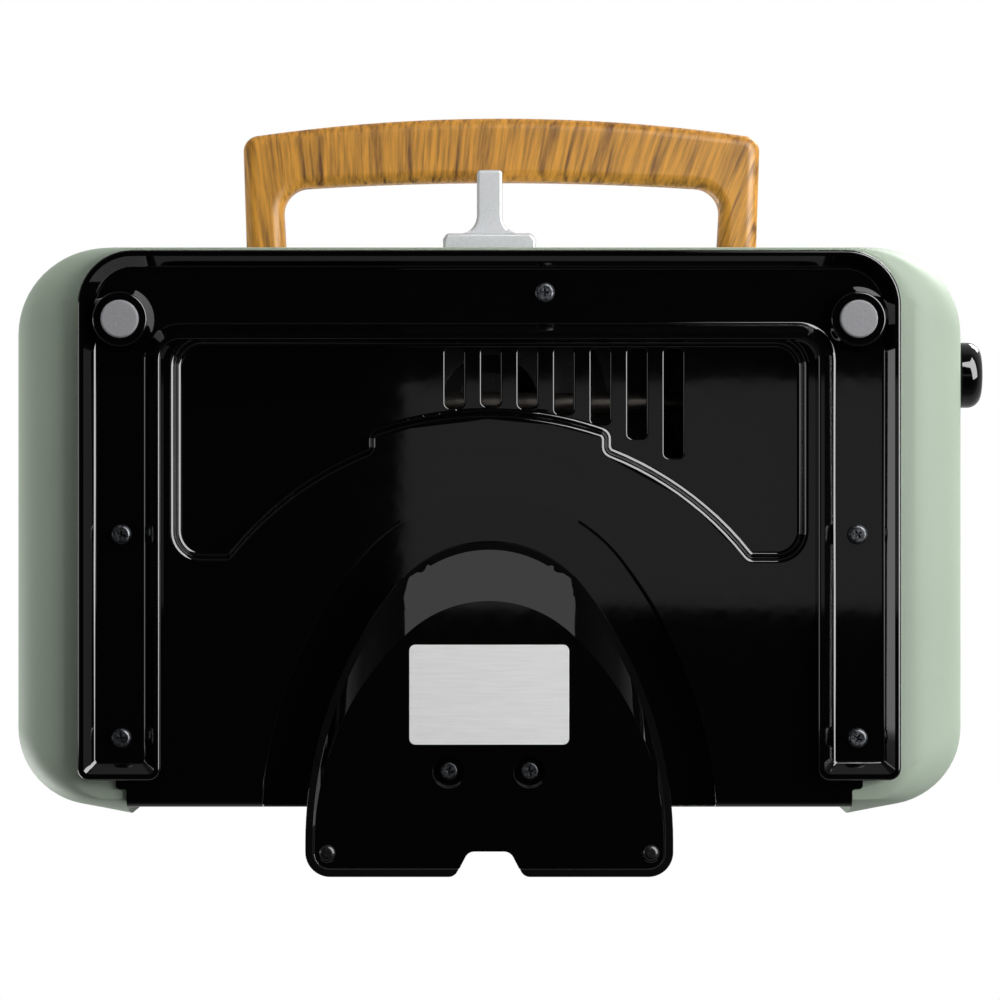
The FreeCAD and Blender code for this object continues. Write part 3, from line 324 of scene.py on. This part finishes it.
def black_oxide_steel():
    # Steel blackened in a hot salt bath: dark, half bright, rubbed lighter in places.
    material, shader, place = new_material("Black-oxide steel", {"Metallic": 0.9})
    rub = add_node(material, "ShaderNodeTexNoise",
                   {"Scale": per_metre(1.0), "Detail": 5.0, "Roughness": 0.65},
                   {"Vector": (place, "Object")})
    tone = add_node(material, "ShaderNodeValToRGB", None, {"Fac": (rub, "Fac")})
    set_ramp(tone, [(0.35, linear("#26272A")), (0.8, linear("#6C6E72"))])
    dull = add_node(material, "ShaderNodeMapRange",
                    {"From Min": 0.3, "From Max": 0.7, "To Min": 0.26, "To Max": 0.4},
                    {"Value": (rub, "Fac")})
    join(material, tone, "Color", shader, "Base Color")
    join(material, dull, "Result", shader, "Roughness")
    return material


def grained_matte(name, shade, grain_mm, dull_low, dull_high, depth_mm, spread=0.12):
    """A matte finish whose one grain sets its tone, its dullness and its relief."""
    material, shader, place = new_material(name, {})
    grain = add_node(material, "ShaderNodeTexNoise",
                     {"Scale": per_metre(grain_mm), "Detail": 5.0, "Roughness": 0.6},
                     {"Vector": (place, "Object")})
    tone = add_node(material, "ShaderNodeValToRGB", None, {"Fac": (grain, "Fac")})
    set_ramp(tone, [(0.3, shaded(shade, 1 - spread)), (0.7, shaded(shade, 1 + spread))])
    dull = add_node(material, "ShaderNodeMapRange",
                    {"From Min": 0.3, "From Max": 0.7, "To Min": dull_low, "To Max": dull_high},
                    {"Value": (grain, "Fac")})
    bump = add_node(material, "ShaderNodeBump", {"Strength": 0.3, "Distance": depth_mm * MM},
                    {"Height": (grain, "Fac")})
    join(material, tone, "Color", shader, "Base Color")
    join(material, dull, "Result", shader, "Roughness")
    join(material, bump, "Normal", shader, "Normal")
    return material, shader


def grey_rubber():
    # Die-cut neoprene pad: matte, with the fine pores of its skin.
    return grained_matte("Grey neoprene, die cut", tuple(colours().pad), 0.8, 0.72, 0.85, 0.1)[0]


def black_rubber():
    # Rubber moulded in a polished tool: near-black, with a soft gloss and a faint skin.
    return grained_matte("Black rubber, moulded", linear("#0C0C0D"), 0.6, 0.22, 0.34, 0.02)[0]


def phenolic():
    # Phenolic resin, compression moulded: dark brown, half dull, with filler specks.
    shade = linear("#5A4030")
    return grained_matte("Phenolic resin, compression moulded", shade, 1.2, 0.4, 0.6, 0.08, 0.25)[0]


def heater_sheath():
    # Drawn steel tube, annealed: grey with bronze heat tint.
    material, shader = grained_matte("Annealed steel tube", linear("#6B6660"), 4.0, 0.35, 0.5, 0.02, 0.2)
    shader.inputs["Metallic"].default_value = 1.0
    return material


def ceramic():
    # Pressed steatite: off-white, dry, fine-grained.
    return grained_matte("Steatite, pressed", linear("#DDD8CC"), 0.7, 0.55, 0.7, 0.05, 0.06)[0]


def nonstick_coat():
    # Sprayed fluoropolymer on cast aluminium: charcoal, low sheen, with fine light specks.
    shade = tuple(colours().plate_coat)
    material, shader, place = new_material("Non-stick coating on cast aluminium", {"IOR": 1.38})
    pebble = add_node(material, "ShaderNodeTexNoise", {"Scale": per_metre(1.5), "Detail": 4.0},
                      {"Vector": (place, "Object")})
    specks = add_node(material, "ShaderNodeTexVoronoi", {"Scale": per_metre(2.2)},
                      {"Vector": (place, "Object")})
    tone = add_node(material, "ShaderNodeValToRGB", None, {"Fac": (specks, "Distance")})
    set_ramp(tone, [(0.1, shaded(shade, 3.2)), (0.17, shade), (0.9, shaded(shade, 0.85))])
    dull = add_node(material, "ShaderNodeMapRange",
                    {"From Min": 0.3, "From Max": 0.7, "To Min": 0.34, "To Max": 0.46},
                    {"Value": (pebble, "Fac")})
    bump = add_node(material, "ShaderNodeBump", {"Strength": 0.15, "Distance": 0.1 * MM},
                    {"Height": (pebble, "Fac")})
    join(material, tone, "Color", shader, "Base Color")
    join(material, dull, "Result", shader, "Roughness")
    join(material, bump, "Normal", shader, "Normal")
    return material


def polyester_foil():
    # Matt polyester film with a printed silver-grey face: flat, with a faint rolled grain.
    shade = tuple(colours().foil)
    material, shader, place = new_material("Polyester foil, silver-grey print", {"Metallic": 0.05})
    lie = add_node(material, "ShaderNodeMapping", {"Scale": (0.06, 1.0, 1.0)}, {"Vector": (place, "Object")})
    grain = add_node(material, "ShaderNodeTexNoise", {"Scale": per_metre(0.8), "Detail": 4.0},
                     {"Vector": (lie, "Vector")})
    tone = add_node(material, "ShaderNodeValToRGB", None, {"Fac": (grain, "Fac")})
    set_ramp(tone, [(0.3, shaded(shade, 0.96)), (0.7, shaded(shade, 1.03))])
    dull = add_node(material, "ShaderNodeMapRange",
                    {"From Min": 0.3, "From Max": 0.7, "To Min": 0.42, "To Max": 0.52},
                    {"Value": (grain, "Fac")})
    join(material, tone, "Color", shader, "Base Color")
    join(material, dull, "Result", shader, "Roughness")
    return material


def lens_plastic(name, shade):
    # Tinted polycarbonate, polished mould: clear and deep, with a faint prism pattern behind the face.
    material, shader, place = new_material(
        name, {"IOR": 1.58, "Transmission Weight": 0.35, "Coat Weight": 0.6})
    prism = add_node(material, "ShaderNodeTexVoronoi", {"Scale": per_metre(1.0)},
                     {"Vector": (place, "Object")})
    tone = add_node(material, "ShaderNodeValToRGB", None, {"Fac": (prism, "Distance")})
    set_ramp(tone, [(0.0, shaded(shade, 0.8)), (0.7, shaded(shade, 1.25))])
    dull = add_node(material, "ShaderNodeMapRange",
                    {"From Min": 0.0, "From Max": 0.7, "To Min": 0.06, "To Max": 0.12},
                    {"Value": (prism, "Distance")})
    join(material, tone, "Color", shader, "Base Color")
    join(material, dull, "Result", shader, "Roughness")
    return material


def white_pad_print():
    # Pad-printed ink: off-white, satin, with slightly uneven cover.
    return grained_matte("White pad-print ink", linear("#E8E8E4"), 0.5, 0.4, 0.5, 0.01, 0.04)[0]


# Shapes


def keep(node, material):
    """Give a CAD node that stays a finish in place of its own."""
    mesh = NODES[node].data
    mesh.materials.clear()
    mesh.materials.append(material)
    return NODES[node]


def soften(obj, width, crease=EDGE_ANGLE):
    """Join a mesh's loose triangles, clear their seams on flat faces, and round its edges."""
    weld = obj.modifiers.new("Join triangles", "WELD")
    weld.merge_threshold = JOIN_GAP
    flat = obj.modifiers.new("Clear flat seams", "DECIMATE")
    flat.decimate_type = "DISSOLVE"
    flat.angle_limit = FLAT_ANGLE
    if width > 0:
        bevel = obj.modifiers.new("Round edges", "BEVEL")
        bevel.limit_method = "ANGLE"
        bevel.angle_limit = math.radians(EDGE_ANGLE)
        bevel.width = width
        bevel.segments = 2
        bevel.profile = 0.5
        bevel.use_clamp_overlap = True
    smooth = obj.modifiers.new("Smooth faces", "NODES")
    smooth.node_group = smooth_group(crease)
    level = obj.modifiers.new("Keep flats flat", "WEIGHTED_NORMAL")
    level.mode = "FACE_AREA"
    level.weight = 100
    level.keep_sharp = True


def smooth_group(crease):
    """Shared modifier that shades faces smooth and keeps edges above an angle sharp."""
    name = "Smooth up to %d degrees" % crease
    group = bpy.data.node_groups.get(name)
    if group:
        return group
    group = bpy.data.node_groups.new(name, "GeometryNodeTree")
    group.interface.new_socket("Geometry", in_out="INPUT", socket_type="NodeSocketGeometry")
    group.interface.new_socket("Geometry", in_out="OUTPUT", socket_type="NodeSocketGeometry")
    entry = group.nodes.new("NodeGroupInput")
    leave = group.nodes.new("NodeGroupOutput")
    faces = group.nodes.new("GeometryNodeSetShadeSmooth")
    edges = group.nodes.new("GeometryNodeSetShadeSmooth")
    edges.domain = "EDGE"
    turn = group.nodes.new("GeometryNodeInputMeshEdgeAngle")
    blunt = group.nodes.new("FunctionNodeCompare")
    blunt.operation = "LESS_THAN"
    blunt.inputs["B"].default_value = math.radians(crease)
    group.links.new(entry.outputs[0], faces.inputs["Geometry"])
    group.links.new(faces.outputs[0], edges.inputs["Geometry"])
    group.links.new(turn.outputs["Unsigned Angle"], blunt.inputs["A"])
    group.links.new(blunt.outputs[0], edges.inputs["Shade Smooth"])
    group.links.new(edges.outputs[0], leave.inputs[0])
    return group


def finish_mesh(name, shape, material, body):
    """Make a bmesh a piece at the origin that rides on a body."""
    bmesh.ops.remove_doubles(shape, verts=shape.verts, dist=0.001 * MM)
    bmesh.ops.recalc_face_normals(shape, faces=shape.faces)
    mesh = bpy.data.meshes.new(name)
    shape.to_mesh(mesh)
    shape.free()
    mesh.materials.append(material)
    obj = bpy.data.objects.new(name, mesh)
    bpy.context.scene.collection.objects.link(obj)
    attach(obj, body)
    return obj


def block(low, high):
    """A bmesh block between two corners."""
    shape = bmesh.new()
    size = high - low
    place = Matrix.Translation((low + high) / 2) @ Matrix.Diagonal((*size, 1.0))
    bmesh.ops.create_cube(shape, size=1.0, matrix=place)
    return shape


def edges_along(shape, axis):
    """Straight edges that run along an axis."""
    found = []
    for edge in shape.edges:
        run = (edge.verts[0].co - edge.verts[1].co).normalized()
        if abs(run[axis]) > 0.999:
            found.append(edge)
    return found


def rounded(shape, edges, radius, segments, clamp=True):
    """Round chosen edges; without the clamp, short edges beside them don't hold the radius down."""
    bmesh.ops.bevel(
        shape, geom=edges, offset=radius, offset_type="OFFSET", affect="EDGES",
        segments=segments, profile=0.5, material=-1, clamp_overlap=clamp,
    )


def merged_copy(node):
    """A bmesh copy of a CAD node with its loose triangles joined."""
    shape = bmesh.new()
    shape.from_mesh(NODES[node].data)
    bmesh.ops.remove_doubles(shape, verts=shape.verts, dist=JOIN_GAP)
    bmesh.ops.dissolve_limit(
        shape, angle_limit=FLAT_ANGLE, verts=shape.verts, edges=shape.edges,
    )
    return shape


def islands(shape):
    """Groups of joined vertices, one for each separate solid, in the order of the mesh."""
    left = set(shape.verts)
    groups = []
    for first in shape.verts:
        if first not in left:
            continue
        left.remove(first)
        front = [first]
        group = [first]
        while front:
            vert = front.pop()
            for edge in vert.link_edges:
                other = edge.other_vert(vert)
                if other in left:
                    left.remove(other)
                    front.append(other)
                    group.append(other)
        groups.append(group)
    return groups


FINISHES = {}


def finish(maker):
    """The material that a maker gives, made once."""
    if maker not in FINISHES:
        FINISHES[maker] = maker()
    return FINISHES[maker]


# Pieces


class DONUT_OT_shells(Operator):
    """Finish the mint shells of the base and the lid"""

    bl_idname = "donut_maker.shells"
    bl_label = "Shells"

    def execute(self, context):
        for node in ("lower_housing", "lid_shell"):
            soften(keep(node, finish(matte_mint_pp)), sizes().shell_edge)
        return {"FINISHED"}


class DONUT_OT_black_mouldings(Operator):
    """Finish the base pan, the rear stand and the hinge panel"""

    bl_idname = "donut_maker.black_mouldings"
    bl_label = "Black mouldings"

    def execute(self, context):
        soften(keep("base_pan", finish(gloss_black_abs)), 0)
        soften(keep("rear_stand", finish(gloss_black_abs)), sizes().pan_edge, STAND_CREASE)
        soften(keep("lid_hinge_panel", finish(gloss_black_abs)), sizes().pan_edge)
        return {"FINISHED"}


class DONUT_OT_handle(Operator):
    """Finish the handle with its wood print"""

    bl_idname = "donut_maker.handle"
    bl_label = "Handle"

    def execute(self, context):
        soften(keep("handle", finish(wood_print_abs)), sizes().metal_edge)
        return {"FINISHED"}


class DONUT_OT_latch(Operator):
    """Finish the latch lever, its pin and its leaf spring"""

    bl_idname = "donut_maker.latch"
    bl_label = "Latch"

    def execute(self, context):
        self.lever()
        for node in ("latch_pin", "latch_spring"):
            soften(keep(node, finish(zinc_plated_steel)), sizes().metal_edge / 2)
        return {"FINISHED"}

    def lever(self):
        """Replace the lever with one whose corners, foot and post are moulded round."""
        s = sizes()
        shape = merged_copy("latch_lever")
        low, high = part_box("latch_lever")
        sides = [e for e in edges_along(shape, 2) if abs(e.verts[0].co.x - low.x) < SAME_PLACE
                 or abs(e.verts[0].co.x - high.x) < SAME_PLACE]
        front = min(e.verts[0].co.y for e in sides)
        front_corners = [e for e in sides if e.verts[0].co.y < front + SAME_PLACE]
        rounded(shape, front_corners, s.latch_corner, segments=5)
        foot = [e for e in shape.edges if all(v.co.z < low.z + SAME_PLACE for v in e.verts)]
        rear = max(v.co.y for e in foot for v in e.verts)
        front_half = [e for e in foot if e.verts[0].co.y + e.verts[1].co.y < front + rear]
        rounded(shape, front_half, s.latch_edge, segments=4, clamp=False)
        post = [e for e in shape.edges if all(v.co.y < front - s.latch_post for v in e.verts)
                and e not in edges_along(shape, 2)]
        rounded(shape, post, s.latch_edge, segments=4, clamp=False)
        piece = finish_mesh("latch_lever_rounded", shape, finish(silver_lacquer), "latch")
        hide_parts("latch_lever")
        soften(piece, 0)


class DONUT_OT_knob(Operator):
    """Finish the control knob and inlay its pointer line"""

    bl_idname = "donut_maker.knob"
    bl_label = "Knob"

    def execute(self, context):
        soften(keep("control_knob", finish(gloss_black_abs)), sizes().metal_edge)
        soften(keep("thermostat_shaft", finish(zinc_plated_steel)), sizes().metal_edge)
        low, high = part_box("control_knob")
        middle = (low + high) / 2
        reach = (high.y - low.y) / 2
        half = sizes().pointer_width / 2
        tip = middle.z + reach * POINTER_REACH
        line = block(
            Vector((high.x - POINTER_INLAY, middle.y - half, tip - sizes().pointer_length)),
            Vector((high.x + POINTER_PROUD, middle.y + half, tip)),
        )
        rounded(line, edges_along(line, 0), half * POINTER_END, segments=4)
        pointer = finish_mesh("knob_pointer", line, finish(white_pad_print), "knob")
        soften(pointer, POINTER_PROUD / 2)
        return {"FINISHED"}


class DONUT_OT_screws(Operator):
    """Cut cross recesses in the screws that show, and finish the hidden ones"""

    bl_idname = "donut_maker.screws"
    bl_label = "Screws"

    def execute(self, context):
        for node in ("base_screws", "stand_screws"):
            self.crossed(node)
        for node in ("lower_plate_screws", "upper_plate_screws", "hinge_panel_screws", "handle_screws"):
            soften(keep(node, finish(zinc_plated_steel)), sizes().metal_edge)
        soften(keep("hinge_pin", finish(zinc_plated_steel)), sizes().metal_edge)
        return {"FINISHED"}

    def crossed(self, node):
        """Replace downward-facing screws with ones that have a cross recess."""
        shape = merged_copy(node)
        heads = []
        for group in islands(shape):
            xs = [v.co.x for v in group]
            ys = [v.co.y for v in group]
            low = min(v.co.z for v in group)
            heads.append(Vector(((min(xs) + max(xs)) / 2, (min(ys) + max(ys)) / 2, low)))
        piece = finish_mesh(node + "_crossed", shape, finish(black_oxide_steel), "base")
        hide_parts(node)
        for wing in (0, 1):
            cutter = self.wings(heads, wing)
            cut = piece.modifiers.new("Cross recess", "BOOLEAN")
            cut.operation = "DIFFERENCE"
            cut.solver = "EXACT"
            cut.object = cutter
            graph = bpy.context.evaluated_depsgraph_get()
            mesh = bpy.data.meshes.new_from_object(piece.evaluated_get(graph))
            piece.modifiers.clear()
            piece.data = mesh
            bpy.data.objects.remove(cutter)
        soften(piece, sizes().cross_edge)

    def wings(self, heads, wing):
        """Tapered cutters for one wing of every cross, each screw turned as it was left."""
        s = sizes()
        shape = bmesh.new()
        for index, head in enumerate(heads):
            part = block(
                Vector((-s.cross_length / 2, -s.cross_width / 2, -s.cross_depth)),
                Vector((s.cross_length / 2, s.cross_width / 2, s.cross_depth)),
            )
            deep = [v for v in part.verts if v.co.z > 0]
            bmesh.ops.scale(part, vec=CROSS_TAPER, verts=deep)
            angle = FIRST_SCREW_TURN + NEXT_SCREW_TURN * index + wing * math.pi / 2
            turn = Matrix.Rotation(angle, 4, "Z")
            bmesh.ops.transform(part, matrix=Matrix.Translation(head) @ turn, verts=part.verts)
            mesh = bpy.data.meshes.new("wing")
            part.to_mesh(mesh)
            part.free()
            shape.from_mesh(mesh)
            bpy.data.meshes.remove(mesh)
        mesh = bpy.data.meshes.new("wings")
        shape.to_mesh(mesh)
        shape.free()
        cutter = bpy.data.objects.new("wings", mesh)
        bpy.context.scene.collection.objects.link(cutter)
        return cutter


class DONUT_OT_rubber(Operator):
    """Finish the foot pads, the stand's nubs and the cord gland"""

    bl_idname = "donut_maker.rubber"
    bl_label = "Rubber pieces"

    def execute(self, context):
        soften(keep("front_feet", finish(grey_rubber)), sizes().metal_edge)
        for node in ("stand_nubs", "cord_gland"):
            soften(keep(node, finish(black_rubber)), sizes().pan_edge)
        return {"FINISHED"}


class DONUT_OT_plates(Operator):
    """Finish the two plates and their ring moulds"""

    bl_idname = "donut_maker.plates"
    bl_label = "Baking plates"

    def execute(self, context):
        for node in ("lower_plate", "upper_plate", "lower_ring_moulds", "upper_ring_moulds"):
            soften(keep(node, finish(nonstick_coat)), sizes().metal_edge)
        return {"FINISHED"}


class DONUT_OT_heating(Operator):
    """Finish the heaters and the parts that switch them"""

    bl_idname = "donut_maker.heating"
    bl_label = "Heating parts"

    def execute(self, context):
        finishes = {
            "lower_heater": heater_sheath, "upper_heater": heater_sheath,
            "limit_switch": phenolic, "thermostat": phenolic,
            "terminal_block": ceramic, "thermal_fuse": zinc_plated_steel,
        }
        for node, maker in finishes.items():
            soften(keep(node, finish(maker)), sizes().metal_edge)
        return {"FINISHED"}


class DONUT_OT_lamps(Operator):
    """Finish the indicator lenses and the lamps behind them"""

    bl_idname = "donut_maker.lamps"
    bl_label = "Indicator lamps"

    def execute(self, context):
        red = lens_plastic("Red polycarbonate lens", tuple(colours().power))
        green = lens_plastic("Green polycarbonate lens", tuple(colours().ready))
        soften(keep("power_lens", red), sizes().metal_edge)
        soften(keep("ready_lens", green), sizes().metal_edge)
        soften(keep("indicator_lamps", finish(ceramic)), sizes().metal_edge)
        return {"FINISHED"}


class DONUT_OT_rating_plate(Operator):
    """Stick a blank rating plate under the rear stand"""

    bl_idname = "donut_maker.rating_plate"
    bl_label = "Blank rating plate"

    def execute(self, context):
        s = sizes()
        low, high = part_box("rear_stand")
        middle = (low.x + high.x) / 2
        shape = block(
            Vector((middle - s.label_width / 2, s.label_y - s.label_depth / 2, low.z - s.label_thickness)),
            Vector((middle + s.label_width / 2, s.label_y + s.label_depth / 2, low.z)),
        )
        rounded(shape, edges_along(shape, 2), s.label_corner, segments=6)
        plate = finish_mesh("rating_plate", shape, finish(polyester_foil), "base")
        soften(plate, s.label_thickness / 4)
        return {"FINISHED"}


# Stage


class DONUT_OT_stage(Operator):
    """Set the floor, the studio light and the camera below the part"""

    bl_idname = "donut_maker.stage"
    bl_label = "Stage"

    def execute(self, context):
        self.floor()
        self.lights()
        self.world()
        self.camera()
        context.scene.view_settings.view_transform = "Standard"
        return {"FINISHED"}

    def floor(self):
        """Pale floor that the lights below the part shine through."""
        shape = bmesh.new()
        bmesh.ops.create_grid(shape, x_segments=1, y_segments=1, size=FLOOR_HALF_WIDTH,
                              matrix=Matrix.Translation((0, 0, FLOOR_Z)))
        mesh = bpy.data.meshes.new("floor")
        shape.to_mesh(mesh)
        shape.free()
        material, shader, place = new_material("Pale painted floor", {"Roughness": 0.8})
        drift = add_node(material, "ShaderNodeTexNoise", {"Scale": per_metre(400), "Detail": 2.0},
                         {"Vector": (place, "Object")})
        tone = add_node(material, "ShaderNodeValToRGB", None, {"Fac": (drift, "Fac")})
        set_ramp(tone, [(0.3, linear("#E6E6E4")), (0.7, linear("#EAEAE8"))])
        join(material, tone, "Color", shader, "Base Color")
        mesh.materials.append(material)
        floor = bpy.data.objects.new("floor", mesh)
        bpy.context.scene.collection.objects.link(floor)
        floor.visible_shadow = False
        floor.visible_diffuse = False
        floor.visible_glossy = False

    def lights(self):
        """Soft boxes below for the underside, cards that only its gloss sees, and a pair for the top."""
        # Name, place and size in metres, watts, the light's part that it gives, and whether the rear
        # stand alone gets it (INCLUDE) or all but the stand (EXCLUDE).
        boxes = (
            ("key below", (1.0, -0.15, -0.6), 0.45, 1.6, 14.0, "matte", None),
            ("front below", (0.1, -1.1, -0.55), 1.4, 0.25, 7.0, "matte", None),
            ("fill side", (-1.2, 0.0, -0.1), 0.3, 1.2, 2.5, "all", None),
            ("side card", (0.28, 0.0, -1.2), 0.14, 0.7, 0.1, "all", None),
            ("pan card", (0.71, -0.41, -0.74), 1.4, 0.85, 42.0, "gloss", "EXCLUDE"),
            ("stand card", (0.0, -0.62, -1.05), 1.6, 0.3, 1.6, "gloss", "INCLUDE"),
            ("key above", (0.9, -1.1, 1.3), 0.8, 0.8, 26.0, "all", None),
            ("fill above", (-1.2, 0.7, 1.1), 0.9, 0.9, 16.0, "all", None),
        )
        for name, place, width, depth, power, seen_in, stand in boxes:
            light = bpy.data.lights.new(name, "AREA")
            light.shape = "RECTANGLE"
            light.size = width
            light.size_y = depth
            light.energy = power
            lamp = bpy.data.objects.new(name, light)
            lamp.location = place
            lamp.visible_diffuse = seen_in != "gloss"
            lamp.visible_glossy = seen_in != "matte"
            if stand:
                lit = bpy.data.collections.new(name)
                lit.objects.link(NODES["rear_stand"])
                lit.collection_objects[0].light_linking.link_state = stand
                lamp.light_linking.receiver_collection = lit
            aim = Vector(LIGHT_AIM) - Vector(place)
            lamp.rotation_euler = aim.to_track_quat("-Z", "Y").to_euler()
            bpy.context.scene.collection.objects.link(lamp)

    def world(self):
        """White where the camera looks past the part, and a soft room that is dark below."""
        world = bpy.data.worlds.new("Studio")
        bpy.context.scene.world = world
        world.use_nodes = True
        world.node_tree.nodes.clear()
        way = add_node(world, "ShaderNodeTexCoord")
        parts = add_node(world, "ShaderNodeSeparateXYZ", None, {"Vector": (way, "Generated")})
        height = add_node(world, "ShaderNodeMapRange", {"From Min": -1.0, "From Max": 1.0},
                          {"Value": (parts, "Z")})
        room = add_node(world, "ShaderNodeValToRGB", None, {"Fac": (height, "Result")})
        set_ramp(room, [(0.1, (0.01,) * 3), (0.35, (0.1,) * 3), (0.5, (0.36,) * 3), (1.0, (0.6,) * 3)])
        path = add_node(world, "ShaderNodeLightPath")
        seen = add_node(world, "ShaderNodeMix", {"data_type": "RGBA", 7: (1.0, 1.0, 1.0, 1.0)},
                        {0: (path, "Is Camera Ray"), 6: (room, "Color")})
        glow = add_node(world, "ShaderNodeBackground", None, {"Color": (seen, 2)})
        add_node(world, "ShaderNodeOutputWorld", None, {"Surface": (glow, "Background")})

    def camera(self):
        """Straight below the part, with the front up and the knob to the right."""
        data = bpy.data.cameras.new("Camera")
        data.lens = CAMERA_LENS_MM
        data.sensor_width = CAMERA_SENSOR_MM
        # The camera looks up from under the floor, so its view starts above the floor.
        data.clip_start = CAMERA_Z + FLOOR_Z / 2
        data.clip_end = 20.0
        camera = bpy.data.objects.new("Camera", data)
        camera.location = (CAMERA_X, CAMERA_Y, -CAMERA_Z)
        camera.rotation_euler = (math.pi, 0, 0)
        bpy.context.scene.collection.objects.link(camera)
        bpy.context.scene.camera = camera


class DONUT_PT_sidebar(Panel):
    """The donut maker's pieces, sizes and colours"""

    bl_idname = "DONUT_PT_sidebar"
    bl_label = "Donut maker"
    bl_space_type = "VIEW_3D"
    bl_region_type = "UI"
    bl_category = "Donut maker"

    def draw(self, context):
        for operator in OPERATORS:
            self.layout.operator(operator.bl_idname)
        for group in (context.scene.donut_sizes, context.scene.donut_colours):
            for name in group.__annotations__:
                self.layout.prop(group, name)


OPERATORS = (
    DONUT_OT_shells,
    DONUT_OT_black_mouldings,
    DONUT_OT_handle,
    DONUT_OT_latch,
    DONUT_OT_knob,
    DONUT_OT_screws,
    DONUT_OT_rubber,
    DONUT_OT_plates,
    DONUT_OT_heating,
    DONUT_OT_lamps,
    DONUT_OT_rating_plate,
    DONUT_OT_stage,
)


def register():
    for group in (FinishColours, FinishSizes) + OPERATORS + (DONUT_PT_sidebar,):
        bpy.utils.register_class(group)
    bpy.types.Scene.donut_colours = PointerProperty(type=FinishColours)
    bpy.types.Scene.donut_sizes = PointerProperty(type=FinishSizes)


def unregister():
    del bpy.types.Scene.donut_sizes
    del bpy.types.Scene.donut_colours
    for group in reversed((FinishColours, FinishSizes) + OPERATORS + (DONUT_PT_sidebar,)):
        bpy.utils.unregister_class(group)


def main():
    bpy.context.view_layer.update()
    register()
    for operator in OPERATORS:
        group, name = operator.bl_idname.split(".")
        getattr(getattr(bpy.ops, group), name)()


if __name__ == "__main__":
    main()
